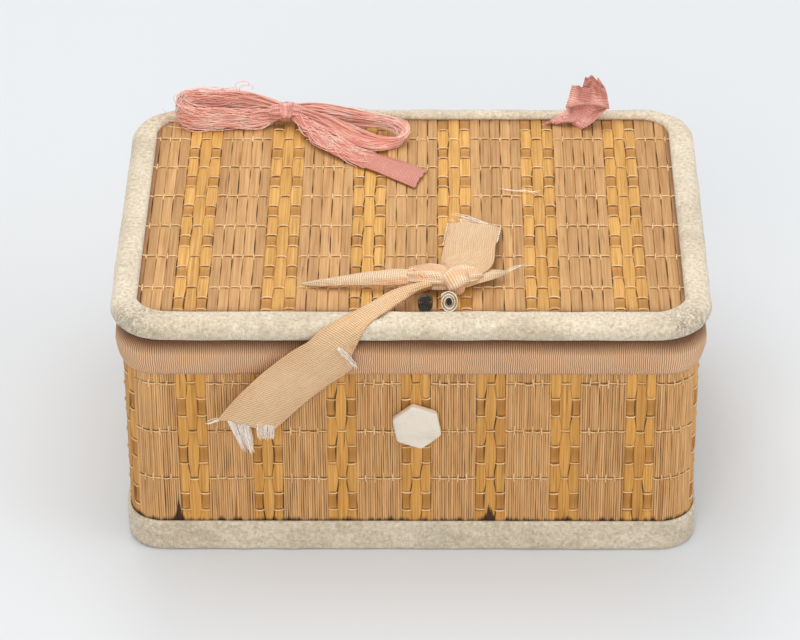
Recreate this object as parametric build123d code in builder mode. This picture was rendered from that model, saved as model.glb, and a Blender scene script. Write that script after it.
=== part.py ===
"""Straw-matting sewing box with a ribbon-hinged lid and two lift-out trays.

Millimetres, +Z up. The origin is the middle of the foot on the table, the front faces -Y.
"""

import os
from math import cos, pi, radians, sin

from build123d import *

os.makedirs("parts", exist_ok=True)

# Overall sizes
BODY_WIDTH = 160.0
BODY_DEPTH = 113.0
BODY_CORNER = 10.0
STRAW_TOP = 60.0
LID_OVERHANG = 3.0
LID_THICKNESS = 6.0

# Sheet thicknesses
MAT = 1.2
SCALLOP = 0.28
WALL_CARD = 2.0
LINING = 0.4
BASE_CARD = 2.0
LID_CARD = 2.5
KID = 0.9
FIT = 0.05

# Straw strips
WALL_STRIPS = 200
LID_STRIPS = 52

# Padded roll on the wall top
ROLL_RADIUS = 3.5
ROLL_BULGE = 1.7
ROLL_HEIGHT = 11.0
ROLL_GRIP = 6.0
ROLL_FACETS = 8
LID_LIFT = 0.8

# Bindings
FOOT_BAND = 9.8
FOOT_TURN_IN = 9.0
BIND_FRONT = 8.4
BIND_SIDE = 7.4
BIND_REAR = 5.4
BIND_ROUND = 2.6
BIND_LIP = 0.8

# Inside of the box; LEDGE is how far each ledge reaches in under the trays
LEDGE = 1.5
TRAY_SET = 15.0
TRAY_HEIGHT = 17.0
TRAY_PLAY = 1.8
TRAY_SPLIT = 0.8
TRAY_CARD = 1.6
TRAY_FLOOR = 1.2
DIVIDER = 1.2
DIVIDER_DROP = 4.0
SILK = 0.8
TAB_WIDTH = 10.0
TAB_HEIGHT = 12.0
TAB_THICK = 0.9
PAD_INSET = 12.5
PAD_DEEP = 3.2
FLOOR_PAD_DEEP = 4.0

# Ribbons
RIBBON = 0.4
CLEAR = 0.15
AIR = 0.3
HINGE_LEFT = -37.5
HINGE_RIGHT = 45.0
HINGE_SET = 3.0
LOOP_WIDTH = 8.0
LEG = 2.2
LEG_SPACING = 6.0
TIE_X = 7.2
BOW_KNOT = 3.6
BOW_KNOT_HALF = 7.2
TIE_KNOT = 3.4
TIE_KNOT_HALF = 6.4
WAIST = 0.8
BUNDLE = 4.0
LOOP_LEAN = 38.0
SOFT = 0.3
TIE_SET = 21.5
TUBE_DARK = 2.3
TUBE_PALE = 2.7
TUBE_LONG = 3.6
TUBE_APART = 3.3

# Button
BUTTON_CORNERS = 14.6
BUTTON_THICK = 2.4
BUTTON_TURN = 40.0
BUTTON_X = 1.7
BUTTON_Z = 43.5
SHANK = 2.0

# Levels worked out from the sizes above
board_foot = KID + BASE_CARD
roll_top = STRAW_TOP + ROLL_HEIGHT
roll_centre_z = roll_top - ROLL_RADIUS
roll_centre_in = ROLL_RADIUS - ROLL_BULGE
wall_inner = MAT + WALL_CARD + LINING
roll_inner = 2 * ROLL_RADIUS - ROLL_BULGE
card_top = STRAW_TOP + ROLL_GRIP
lid_under = roll_top + LID_LIFT
lid_crest = lid_under + LID_THICKNESS
lid_board_under = lid_under + BIND_LIP
lid_board_top = lid_board_under + LID_CARD
lid_top = lid_board_top + MAT
lid_width = BODY_WIDTH + 2 * LID_OVERHANG
lid_depth = BODY_DEPTH + 2 * LID_OVERHANG
lid_corner = BODY_CORNER + LID_OVERHANG
hinge_y = BODY_DEPTH / 2 - roll_centre_in
leg_y = hinge_y - HINGE_SET
tie_y = TIE_SET - lid_depth / 2
tray_bottom = STRAW_TOP - TRAY_SET
half_in_x = BODY_WIDTH / 2 - wall_inner
half_in_y = BODY_DEPTH / 2 - wall_inner
tray_half_x = BODY_WIDTH / 2 - roll_inner - TRAY_PLAY
tray_half_y = BODY_DEPTH / 2 - roll_inner - TRAY_PLAY
ledge_wide = half_in_x - tray_half_x + LEDGE
corner_in = BODY_CORNER - wall_inner


def outline_point(s, width, depth, corner):
    """Point and outward normal at arc length s along a rounded rectangle, from the middle of the front."""
    hx = width / 2 - corner
    hy = depth / 2 - corner
    quarter = pi * corner / 2
    legs = [("line", 0.0, -depth / 2, 1, 0, hx), ("arc", hx, -hy, -90.0, 0, quarter),
            ("line", width / 2, -hy, 0, 1, 2 * hy), ("arc", hx, hy, 0.0, 0, quarter),
            ("line", hx, depth / 2, -1, 0, 2 * hx), ("arc", -hx, hy, 90.0, 0, quarter),
            ("line", -width / 2, hy, 0, -1, 2 * hy), ("arc", -hx, -hy, 180.0, 0, quarter),
            ("line", -hx, -depth / 2, 1, 0, hx)]
    for kind, a, b, c, d, length in legs:
        if s <= length or kind == "line" and d == 0 and a == -hx:
            if kind == "line":
                return a + c * s, b + d * s, d, -c
            angle = radians(c + 90.0 * s / length)
            return a + corner * cos(angle), b + corner * sin(angle), cos(angle), sin(angle)
        s -= length
    raise ValueError("arc length past the end")


def outline_length(width, depth, corner):
    return 2 * (width + depth) - 8 * corner + 2 * pi * corner


def outline_path(width, depth, corner):
    """Rounded rectangle as lines and arcs, starting in the middle of the front and going to +X."""
    hx = width / 2 - corner
    hy = depth / 2 - corner
    Line((0, -depth / 2), (hx, -depth / 2))
    CenterArc((hx, -hy), corner, -90, 90)
    Line((width / 2, -hy), (width / 2, hy))
    CenterArc((hx, hy), corner, 0, 90)
    Line((hx, depth / 2), (-hx, depth / 2))
    CenterArc((-hx, hy), corner, 90, 90)
    Line((-width / 2, hy), (-width / 2, -hy))
    CenterArc((-hx, -hy), corner, 180, 90)
    Line((-hx, -depth / 2), (0, -depth / 2))


def roll_outline(foot):
    """Outside of the padded roll's section; x is outward from the straw face, y is up."""
    side_out = ROLL_BULGE * 0.85
    side_in = -roll_inner + ROLL_BULGE * 0.15
    third = foot + (roll_centre_z - foot) * 0.4
    bow = [radians(180.0 * i / ROLL_FACETS) for i in range(ROLL_FACETS + 1)]
    top = [(ROLL_RADIUS * cos(a) - roll_centre_in, roll_centre_z + ROLL_RADIUS * sin(a)) for a in bow]
    Line((-wall_inner - 0.2, foot), (0.2, foot))
    Polyline((0.2, foot), (side_out, third), *top, (side_in, third), (-wall_inner - 0.2, foot))


def front_plane(y):
    """Drawing plane facing the front, x to the right and y up."""
    return Plane(origin=(0, y, 0), x_dir=(1, 0, 0), z_dir=(0, -1, 0))


def side_plane(x):
    """Drawing plane seen from the right side: x is world Y, y is world Z, normal +X."""
    return Plane(origin=(x, 0, 0), x_dir=(0, 1, 0), z_dir=(1, 0, 0))


def knot_profile(radius, half):
    """Radii along a tied knot with two swells and a waist, each with its place along the knot's length."""
    ends = radius * WAIST * 0.85
    return [(-half, ends), (-half * 0.65, radius), (-half * 0.25, radius), (0, radius * WAIST),
            (half * 0.25, radius), (half * 0.65, radius), (half, ends)]


def save(part, name):
    part.label = name
    export_step(part, "parts/" + name + ".step")


hinge_slot_z = STRAW_TOP - 0.5 - RIBBON - CLEAR
hinge_slot = RIBBON + 2 * CLEAR

# Foot: paper cover, pasteboard base and the cream band with its turned-in edge
with BuildPart() as base_cover:
    with BuildSketch():
        RectangleRounded(BODY_WIDTH - 2 * (FOOT_TURN_IN + FIT), BODY_DEPTH - 2 * (FOOT_TURN_IN + FIT), BODY_CORNER)
    extrude(amount=KID)
save(base_cover.part, "base_cover")

with BuildPart() as base_board:
    with BuildSketch(Plane.XY.offset(KID)):
        RectangleRounded(BODY_WIDTH - 2 * MAT, BODY_DEPTH - 2 * MAT, BODY_CORNER - MAT)
    extrude(amount=BASE_CARD)
save(base_board.part, "base_board")

with BuildPart() as base_binding:
    with BuildSketch():
        RectangleRounded(BODY_WIDTH + 2 * KID, BODY_DEPTH + 2 * KID, BODY_CORNER + KID)
    extrude(amount=FOOT_BAND)
    with BuildSketch(Plane.XY.offset(KID)):
        RectangleRounded(BODY_WIDTH + 2 * FIT, BODY_DEPTH + 2 * FIT, BODY_CORNER + FIT)
    extrude(amount=FOOT_BAND, mode=Mode.SUBTRACT)
    with BuildSketch():
        RectangleRounded(BODY_WIDTH - 2 * FOOT_TURN_IN, BODY_DEPTH - 2 * FOOT_TURN_IN, BODY_CORNER)
    extrude(amount=KID, mode=Mode.SUBTRACT)
    outer_foot = base_binding.edges().group_by(Axis.Z)[0]
    longest = outer_foot.filter_by(lambda e: e.center().X ** 2 / (BODY_WIDTH / 2) ** 2
                                   + e.center().Y ** 2 / (BODY_DEPTH / 2) ** 2 > 0.98)
    chamfer(longest, KID * 0.6)
save(base_binding.part, "base_binding")

# Walls: card tube, straw matting outside with one scallop for each straw, paper lining inside
with BuildPart() as wall_board:
    with BuildSketch(Plane.XY.offset(board_foot)):
        RectangleRounded(BODY_WIDTH - 2 * MAT, BODY_DEPTH - 2 * MAT, BODY_CORNER - MAT)
        RectangleRounded(BODY_WIDTH - 2 * MAT - 2 * WALL_CARD, BODY_DEPTH - 2 * MAT - 2 * WALL_CARD,
                         BODY_CORNER - MAT - WALL_CARD, mode=Mode.SUBTRACT)
    extrude(amount=card_top - board_foot)
    with Locations((HINGE_LEFT, BODY_DEPTH / 2, hinge_slot_z), (HINGE_RIGHT, BODY_DEPTH / 2, hinge_slot_z)):
        Box(LOOP_WIDTH + 2 * CLEAR, 4 * wall_inner, hinge_slot,
            align=(Align.CENTER, Align.CENTER, Align.MIN), mode=Mode.SUBTRACT)
    with Locations(Location((BUTTON_X, -BODY_DEPTH / 2, BUTTON_Z), (90, 0, 0))):
        Cylinder(SHANK / 2 + CLEAR, 4 * wall_inner, mode=Mode.SUBTRACT)
save(wall_board.part, "wall_board")

with BuildPart() as wall_mat:
    with BuildSketch(Plane.XY.offset(KID)):
        with BuildLine():
            total = outline_length(BODY_WIDTH, BODY_DEPTH, BODY_CORNER)
            marks = []
            for i in range(2 * WALL_STRIPS):
                along = total * i / (2 * WALL_STRIPS)
                px, py, nx, ny = outline_point(along, BODY_WIDTH, BODY_DEPTH, BODY_CORNER)
                sink = SCALLOP if i % 2 == 0 else 0.0
                marks.append((px - nx * sink, py - ny * sink))
            Polyline(*marks, close=True)
        make_face()
        RectangleRounded(BODY_WIDTH - 2 * MAT, BODY_DEPTH - 2 * MAT, BODY_CORNER - MAT, mode=Mode.SUBTRACT)
    extrude(amount=STRAW_TOP - KID)
    with Locations((HINGE_LEFT, BODY_DEPTH / 2, hinge_slot_z), (HINGE_RIGHT, BODY_DEPTH / 2, hinge_slot_z)):
        Box(LOOP_WIDTH + 2 * CLEAR, 4 * wall_inner, hinge_slot,
            align=(Align.CENTER, Align.CENTER, Align.MIN), mode=Mode.SUBTRACT)
    with Locations(Location((BUTTON_X, -BODY_DEPTH / 2, BUTTON_Z), (90, 0, 0))):
        Cylinder(SHANK / 2 + CLEAR, 4 * wall_inner, mode=Mode.SUBTRACT)
save(wall_mat.part, "wall_mat")

with BuildPart() as wall_lining:
    with BuildSketch(Plane.XY.offset(board_foot)):
        RectangleRounded(2 * half_in_x + 2 * LINING, 2 * half_in_y + 2 * LINING, corner_in + LINING)
        RectangleRounded(2 * half_in_x, 2 * half_in_y, corner_in, mode=Mode.SUBTRACT)
    extrude(amount=STRAW_TOP - board_foot)
    with Locations((HINGE_LEFT, BODY_DEPTH / 2, hinge_slot_z), (HINGE_RIGHT, BODY_DEPTH / 2, hinge_slot_z)):
        Box(LOOP_WIDTH + 2 * CLEAR, 4 * wall_inner, hinge_slot,
            align=(Align.CENTER, Align.CENTER, Align.MIN), mode=Mode.SUBTRACT)
    with Locations(Location((BUTTON_X, -BODY_DEPTH / 2, BUTTON_Z), (90, 0, 0))):
        Cylinder(SHANK / 2 + CLEAR, 4 * wall_inner, mode=Mode.SUBTRACT)
save(wall_lining.part, "wall_lining")

# Padded roll: rounded section swept round the wall top, with a groove that grips the card
with BuildPart() as rim_roll:
    with BuildLine() as roll_path:
        outline_path(BODY_WIDTH, BODY_DEPTH, BODY_CORNER)
    with BuildSketch(Plane(origin=(0, -BODY_DEPTH / 2, 0), x_dir=(0, -1, 0), z_dir=(-1, 0, 0))):
        with BuildLine():
            roll_outline(STRAW_TOP)
        make_face()
        with Locations((-MAT - WALL_CARD / 2, STRAW_TOP)):
            Rectangle(WALL_CARD, 2 * ROLL_GRIP, mode=Mode.SUBTRACT)
    sweep(path=roll_path.wires()[0])
save(rim_roll.part, "rim_roll")

# Ledges that carry the trays and the pad on the floor
ledge_len_x = 2 * (half_in_x - corner_in)
ledge_len_y = 2 * (half_in_y - corner_in)
with BuildPart() as tray_ledges:
    for sx, sy, lx, ly in ((0, -1, ledge_len_x, ledge_wide), (0, 1, ledge_len_x, ledge_wide),
                           (-1, 0, ledge_wide, ledge_len_y), (1, 0, ledge_wide, ledge_len_y)):
        with Locations((sx * (half_in_x - ledge_wide / 2), sy * (half_in_y - ledge_wide / 2), board_foot)):
            Box(lx, ly, tray_bottom - board_foot, align=(Align.CENTER, Align.CENTER, Align.MIN))
save(tray_ledges.part, "tray_ledges")

pad_x = 2 * (half_in_x - ledge_wide - AIR)
pad_y = 2 * (half_in_y - ledge_wide - AIR)
with BuildPart() as floor_pad:
    for level, shrink, corner in ((0.0, 1.6, 4.0), (0.4, 0.0, 4.6), (0.8, 4.0, 6.0), (1.0, 36.0, 8.0)):
        with BuildSketch(Plane.XY.offset(board_foot + level * FLOOR_PAD_DEEP)):
            RectangleRounded(pad_x - shrink, pad_y - shrink, corner)
    loft(ruled=True)
save(floor_pad.part, "floor_pad")

# Six-sided button on its thread
with BuildPart() as front_button:
    with BuildSketch(front_plane(-BODY_DEPTH / 2 - AIR)):
        with Locations((BUTTON_X, BUTTON_Z)):
            RegularPolygon(BUTTON_CORNERS / 2, 6, rotation=BUTTON_TURN)
            Circle(SHANK / 2 + CLEAR, mode=Mode.SUBTRACT)
    extrude(amount=BUTTON_THICK)
    front_rim = front_button.faces().sort_by(Axis.Y)[0].outer_wire().edges()
    chamfer(front_rim, BUTTON_THICK * 0.3)
save(front_button.part, "front_button")

with BuildPart() as button_thread:
    with BuildSketch(front_plane(-BODY_DEPTH / 2 - AIR - BUTTON_THICK)):
        with Locations((BUTTON_X, BUTTON_Z)):
            Circle(SHANK / 2)
    extrude(amount=-(BUTTON_THICK + AIR + wall_inner))
save(button_thread.part, "button_thread")

# Body side of the two ribbon hinges: one turn of ribbon round the rear roll, through a slot in the wall
rear_section = Plane(origin=(0, BODY_DEPTH / 2, 0), x_dir=(0, 1, 0), z_dir=(1, 0, 0))
with BuildPart() as left_hinge_turn:
    with BuildSketch(rear_section.offset(HINGE_LEFT - LOOP_WIDTH / 2)):
        with BuildLine():
            roll_outline(STRAW_TOP - 0.5)
        make_face()
        offset(amount=CLEAR + RIBBON, kind=Kind.INTERSECTION)
        with BuildSketch(rear_section.offset(HINGE_LEFT - LOOP_WIDTH / 2), mode=Mode.SUBTRACT):
            with BuildLine():
                roll_outline(STRAW_TOP - 0.5)
            make_face()
            offset(amount=CLEAR, kind=Kind.INTERSECTION)
    extrude(amount=LOOP_WIDTH)
save(left_hinge_turn.part, "left_hinge_turn")

with BuildPart() as right_hinge_turn:
    with BuildSketch(rear_section.offset(HINGE_RIGHT - LOOP_WIDTH / 2)):
        with BuildLine():
            roll_outline(STRAW_TOP - 0.5)
        make_face()
        offset(amount=CLEAR + RIBBON, kind=Kind.INTERSECTION)
        with BuildSketch(rear_section.offset(HINGE_RIGHT - LOOP_WIDTH / 2), mode=Mode.SUBTRACT):
            with BuildLine():
                roll_outline(STRAW_TOP - 0.5)
            make_face()
            offset(amount=CLEAR, kind=Kind.INTERSECTION)
    extrude(amount=LOOP_WIDTH)
save(right_hinge_turn.part, "right_hinge_turn")

# Lid: card core, straw matting, cream binding all round and a pad underneath
panel_x = lid_width - 2 * BIND_SIDE
panel_y = lid_depth - BIND_FRONT - BIND_REAR
panel_mid = (BIND_FRONT - BIND_REAR) / 2
bite = 3.2
lid_holes = [(HINGE_LEFT - LEG_SPACING, leg_y), (HINGE_LEFT + LEG_SPACING, leg_y),
             (HINGE_RIGHT - LEG_SPACING, leg_y), (HINGE_RIGHT + LEG_SPACING, leg_y),
             (TIE_X - LEG_SPACING / 2, tie_y), (TIE_X + LEG_SPACING / 2, tie_y)]
with BuildPart() as lid_board:
    with BuildSketch(Plane.XY.offset(lid_board_under)):
        with Locations((0, panel_mid)):
            RectangleRounded(panel_x + 2 * bite, panel_y + 2 * bite, lid_corner - bite)
        with Locations(*lid_holes):
            RegularPolygon(LEG / 2 + CLEAR, 8, mode=Mode.SUBTRACT)
    extrude(amount=LID_CARD)
save(lid_board.part, "lid_board")

strip = (panel_x + 2 * bite) / LID_STRIPS
with BuildPart() as lid_mat:
    with BuildSketch(Plane(origin=(0, -lid_depth / 2, 0), x_dir=(1, 0, 0), z_dir=(0, -1, 0))):
        with BuildLine():
            left = -(panel_x + 2 * bite) / 2
            ridge = [(-left, lid_board_top), (left, lid_board_top)]
            for i in range(LID_STRIPS):
                edge = left + i * strip
                ridge += [(edge, lid_top - SCALLOP), (edge + strip * 0.3, lid_top)]
                ridge += [(edge + strip * 0.7, lid_top)]
            Polyline(*ridge, (-left, lid_top - SCALLOP), close=True)
        make_face()
    extrude(amount=-lid_depth)
    with BuildSketch(Plane.XY.offset(lid_board_top)):
        with Locations((0, panel_mid)):
            RectangleRounded(panel_x + 2 * bite, panel_y + 2 * bite, lid_corner - bite)
        with Locations(*lid_holes):
            RegularPolygon(LEG / 2 + CLEAR, 8, mode=Mode.SUBTRACT)
    extrude(amount=2 * MAT, mode=Mode.INTERSECT)
save(lid_mat.part, "lid_mat")

with BuildPart() as lid_binding:
    with BuildSketch(Plane.XY.offset(lid_under)):
        RectangleRounded(lid_width, lid_depth, lid_corner)
        with Locations((0, panel_mid)):
            RectangleRounded(panel_x, panel_y, lid_corner - BIND_REAR, mode=Mode.SUBTRACT)
    extrude(amount=LID_THICKNESS)
    crest = lid_binding.edges().filter_by(
        lambda e: abs(e.bounding_box().min.Z - e.bounding_box().max.Z) < 0.01)
    outside = crest.filter_by(lambda e: max(abs(e.center().X) / (lid_width / 2),
                                            abs(e.center().Y) / (lid_depth / 2)) > 0.955)
    fillet(outside.group_by(Axis.Z)[-1], BIND_ROUND)
    chamfer(outside.group_by(Axis.Z)[0], BIND_ROUND * 0.7)
    inside_top = lid_binding.faces().sort_by(Axis.Z)[-1].inner_wires()[0].edges()
    chamfer(inside_top, LID_THICKNESS - BIND_LIP - LID_CARD - MAT - 0.2)
    with BuildSketch(Plane.XY.offset(lid_board_under)):
        with Locations((0, panel_mid)):
            RectangleRounded(panel_x + 2 * bite, panel_y + 2 * bite, lid_corner - bite)
    extrude(amount=LID_CARD + MAT, mode=Mode.SUBTRACT)
save(lid_binding.part, "lid_binding")

with BuildPart() as lid_lining:
    with BuildSketch(Plane.XY.offset(lid_board_under - LINING)):
        with Locations((0, panel_mid)):
            RectangleRounded(panel_x - 2 * FIT, panel_y - 2 * FIT, lid_corner - BIND_REAR)
        with Locations(*lid_holes[:4]):
            RegularPolygon(LEG / 2 + CLEAR, 8, mode=Mode.SUBTRACT)
    extrude(amount=LINING)
save(lid_lining.part, "lid_lining")

lid_pad_x = BODY_WIDTH - 2 * roll_inner - 2 * PAD_INSET
lid_pad_y = BODY_DEPTH - 2 * roll_inner - 2 * PAD_INSET
with BuildPart() as lid_pad:
    for level, shrink, corner in ((0.0, 1.6, 4.0), (0.4, 0.0, 4.6), (0.8, 4.0, 6.0), (1.0, 36.0, 8.0)):
        with BuildSketch(Plane.XY.offset(lid_board_under - LINING - level * PAD_DEEP)):
            RectangleRounded(lid_pad_x - shrink, lid_pad_y - shrink, corner)
    loft(ruled=True)
save(lid_pad.part, "lid_pad")

# Left hinge bow on the lid: legs through the lid, knot, two gathered loops and a flat tail
bow_z = lid_top + AIR
knot_z = bow_z + BOW_KNOT
leg_low = roll_top + RIBBON + CLEAR + AIR
with BuildPart() as left_bow_legs:
    for side in (-1, 1):
        with BuildSketch(Plane.XY.offset(leg_low)):
            with Locations((HINGE_LEFT + side * LEG_SPACING, leg_y)):
                RegularPolygon(LEG / 2, 8)
        extrude(amount=bow_z - leg_low)
save(left_bow_legs.part, "left_bow_legs")

with BuildPart() as left_bow_knot:
    for out, radius in knot_profile(BOW_KNOT, BOW_KNOT_HALF):
        with BuildSketch(Plane(origin=(HINGE_LEFT + out, leg_y, knot_z), x_dir=(0, 1, 0), z_dir=(1, 0, 0))):
            RegularPolygon(radius, 12)
    loft(ruled=True)
save(left_bow_knot.part, "left_bow_knot")

with BuildPart() as left_bow_left_loop:
    loop_root = HINGE_LEFT - BOW_KNOT_HALF - AIR
    for out, tall, thick in ((0.0, 4.6, 3.6), (6.0, 7.0, 4.2), (14.0, 9.6, 4.8), (21.0, 10.0, 4.4),
                             (24.6, 8.0, 2.6)):
        tilt = radians(LOOP_LEAN)
        plane = Plane(origin=(loop_root - out, leg_y - 0.4, knot_z + 0.9 + 0.02 * out),
                      x_dir=(0, sin(tilt), cos(tilt)), z_dir=(-1, 0, 0))
        with BuildSketch(plane) as section:
            Rectangle(tall, thick)
            chamfer(section.vertices(), thick * SOFT)
    loft(ruled=True)
save(left_bow_left_loop.part, "left_bow_left_loop")

loop_z = bow_z + 1.4 + BUNDLE / 2
with BuildPart() as left_bow_right_loop:
    with BuildLine(Plane.XY.offset(loop_z)) as eye:
        root = HINGE_LEFT + BOW_KNOT_HALF + AIR
        FilletPolyline((root, leg_y + 0.6), (root + 10, leg_y - 1.0), (root + 28.0, leg_y - 7.0),
                       (root + 26.0, leg_y - 14.6), (root + 15, leg_y - 13.6), (root + 1.8, leg_y - 4.6),
                       radius=3.2)
    with BuildSketch(Plane(origin=eye.line @ 0, x_dir=(0, 0, 1), z_dir=eye.line % 0)):
        RegularPolygon(BUNDLE / 2, 8, rotation=22.5)
    sweep(path=eye.line)
save(left_bow_right_loop.part, "left_bow_right_loop")

with BuildPart() as left_bow_tail:
    with BuildSketch(Plane.XY.offset(bow_z)):
        with BuildLine():
            Polyline((HINGE_LEFT + 3.0, leg_y - 4.2), (HINGE_LEFT + 9.0, leg_y - 4.4),
                     (HINGE_LEFT + 17.5, leg_y - 14.1), (HINGE_LEFT + 24.5, leg_y - 18.5), (HINGE_LEFT + 36.8, leg_y - 24.7),
                     (HINGE_LEFT + 41.7, leg_y - 28.8), (HINGE_LEFT + 38.7, leg_y - 37.3),
                     (HINGE_LEFT + 21.2, leg_y - 25.0), (HINGE_LEFT + 7.9, leg_y - 12.8), close=True)
        make_face()
    extrude(amount=0.8)
save(left_bow_tail.part, "left_bow_tail")

# Right hinge stub on the lid: legs, a folded base and a short end standing up
with BuildPart() as right_stub_legs:
    for side in (-1, 1):
        with BuildSketch(Plane.XY.offset(leg_low)):
            with Locations((HINGE_RIGHT + side * LEG_SPACING, leg_y)):
                RegularPolygon(LEG / 2, 8)
        extrude(amount=bow_z - leg_low)
save(right_stub_legs.part, "right_stub_legs")

with BuildPart() as right_stub_fold:
    with BuildSketch(front_plane(leg_y + 2.2)):
        with BuildLine():
            Polyline((HINGE_RIGHT - 7.6, bow_z), (HINGE_RIGHT + 8.0, bow_z), (HINGE_RIGHT + 8.4, bow_z + 2.6),
                     (HINGE_RIGHT + 4.0, bow_z + 4.6), (HINGE_RIGHT - 4.0, bow_z + 3.0),
                     (HINGE_RIGHT - 7.8, bow_z + 1.2), close=True)
        make_face()
    extrude(amount=4.6)
    fillet(right_stub_fold.edges().filter_by(Axis.Y).sort_by(Axis.Z)[-3:], 0.9)
save(right_stub_fold.part, "right_stub_fold")

with BuildPart() as right_stub_end:
    foot_z = bow_z + 4.6 + AIR
    for up, wide, thick, back in ((0.0, 7.0, 2.6, 0.0), (3.6, 11.0, 2.2, 0.8), (8.0, 12.4, 1.6, 2.2)):
        with BuildSketch(Plane.XY.offset(foot_z + up)) as section:
            with Locations((HINGE_RIGHT + 4.4 + 0.1 * up, leg_y + back)):
                Rectangle(wide, thick)
            chamfer(section.vertices(), thick * SOFT)
    loft(ruled=True)
save(right_stub_end.part, "right_stub_end")

# Front tie on the lid: legs, knot, rear tail, pointed left tail, short right end and the long front tail
tie_z = bow_z + TIE_KNOT
with BuildPart() as tie_legs:
    for side in (-1, 1):
        with BuildSketch(Plane.XY.offset(lid_board_under)):
            with Locations((TIE_X + side * LEG_SPACING / 2, tie_y)):
                RegularPolygon(LEG / 2, 8)
        extrude(amount=bow_z - lid_board_under)
save(tie_legs.part, "tie_legs")

with BuildPart() as tie_knot:
    for out, radius in knot_profile(TIE_KNOT, TIE_KNOT_HALF):
        with BuildSketch(Plane(origin=(TIE_X + out, tie_y, tie_z), x_dir=(0, 1, 0), z_dir=(1, 0, 0))):
            RegularPolygon(radius, 12)
    loft(ruled=True)
save(tie_knot.part, "tie_knot")

with BuildPart() as tie_rear_tail:
    with BuildSketch(side_plane(TIE_X - 4.5)):
        with BuildLine() as rear_run:
            FilletPolyline((tie_y + TIE_KNOT + AIR, tie_z + 1.0), (tie_y + 10.0, tie_z + 3.2),
                           (tie_y + 33.0, tie_z + 0.6), radius=8.0)
        trace(line_width=1.4)
    extrude(amount=24.0)
    with BuildSketch(Plane.XY.offset(lid_top)):
        with BuildLine():
            Polyline((TIE_X - 4.0, tie_y), (TIE_X + 4.6, tie_y), (TIE_X + 11.0, tie_y + 12.0),
                     (TIE_X + 17.6, tie_y + 31.0),
                     (TIE_X + 4.6, tie_y + 34.0), (TIE_X + 0.4, tie_y + 14.0), close=True)
        make_face()
    extrude(amount=20.0, mode=Mode.INTERSECT)
save(tie_rear_tail.part, "tie_rear_tail")

with BuildPart() as tie_left_tail:
    for out, tall, thick, forward in ((0.0, 4.6, 2.8, 0.0), (10.0, 6.4, 2.6, 0.6),
                                      (20.0, 4.4, 1.8, 0.4), (29.0, 1.2, 0.9, -1.0)):
        plane = Plane(origin=(TIE_X - TIE_KNOT_HALF - AIR - out, tie_y - forward, bow_z + tall / 2),
                      x_dir=(0, 0.34, 0.94), z_dir=(-1, 0, 0))
        with BuildSketch(plane) as section:
            Rectangle(tall, thick)
            chamfer(section.vertices(), thick * SOFT)
    loft(ruled=True)
save(tie_left_tail.part, "tie_left_tail")

with BuildPart() as tie_right_end:
    for out, tall, thick, back in ((0.0, 3.6, 2.6, 0.0), (5.0, 5.0, 2.4, 3.0), (11.0, 1.4, 0.9, 7.4)):
        plane = Plane(origin=(TIE_X + TIE_KNOT_HALF + AIR + out, tie_y + back, bow_z + tall / 2),
                      x_dir=(0, 0, 1), z_dir=(1, 0, 0))
        with BuildSketch(plane) as section:
            Rectangle(tall, thick)
            chamfer(section.vertices(), thick * SOFT)
    loft(ruled=True)
save(tie_right_end.part, "tie_right_end")

tail_y = -lid_depth / 2 - AIR - RIBBON
tail_top = lid_crest + AIR + RIBBON
tail_low = 40.0
tail_cut = lid_crest - 3.0
bend = -lid_depth / 2 + 2.0

# One thin sheet follows the lid top, the round of the front binding and the box front; the tail is cut from it
with BuildPart() as tail_sheet:
    with BuildSketch(side_plane(-80.0)):
        with BuildLine():
            FilletPolyline((tie_y - TIE_KNOT - AIR, tie_z + 0.6), (-lid_depth / 2 + 7.0, tail_top + 0.2),
                           (tail_y, tail_top), (tail_y, tail_low + 14.0), (tail_y + 1.4, tail_low), radius=2.9)
        trace(line_width=2 * RIBBON)
    extrude(amount=110.0)
with BuildPart() as tail_on_lid:
    add(tail_sheet.part)
    with BuildSketch(Plane.XY.offset(tail_cut)):
        with BuildLine():
            Polyline((TIE_X - 6.0, tie_y - 1.0), (TIE_X - 1.8, tie_y - 1.0), (TIE_X - 10.6, bend),
                     (TIE_X - 10.6, bend - 12.0), (TIE_X - 27.2, bend - 12.0), (TIE_X - 27.2, bend), close=True)
        make_face()
    extrude(amount=30.0, mode=Mode.INTERSECT)
with BuildPart() as tie_front_tail:
    add(tail_sheet.part)
    with BuildSketch(front_plane(0)):
        with BuildLine():
            Polyline((TIE_X - 27.2, tail_cut), (TIE_X - 10.6, tail_cut), (TIE_X - 40.6, tail_low + 0.8),
                     (TIE_X - 52.0, tail_low - 3.0), (TIE_X - 62.0, tail_low + 4.0), close=True)
        make_face()
    extrude(amount=200.0, both=True, mode=Mode.INTERSECT)
    add(tail_on_lid.part)
save(tie_front_tail.part, "tie_front_tail")

# Two small tube ends behind the front binding
tube_y = -lid_depth / 2 + BIND_FRONT + AIR
with BuildPart() as tube_ends:
    for x, radius in ((TIE_X - TUBE_APART, TUBE_DARK), (TIE_X + TUBE_APART, TUBE_PALE)):
        with BuildSketch(front_plane(tube_y)):
            with Locations((x, bow_z + radius)):
                RegularPolygon(radius, 16, rotation=11.25)
                RegularPolygon(radius / 2, 16, rotation=11.25, mode=Mode.SUBTRACT)
        extrude(amount=-TUBE_LONG)
save(tube_ends.part, "tube_ends")

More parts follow.
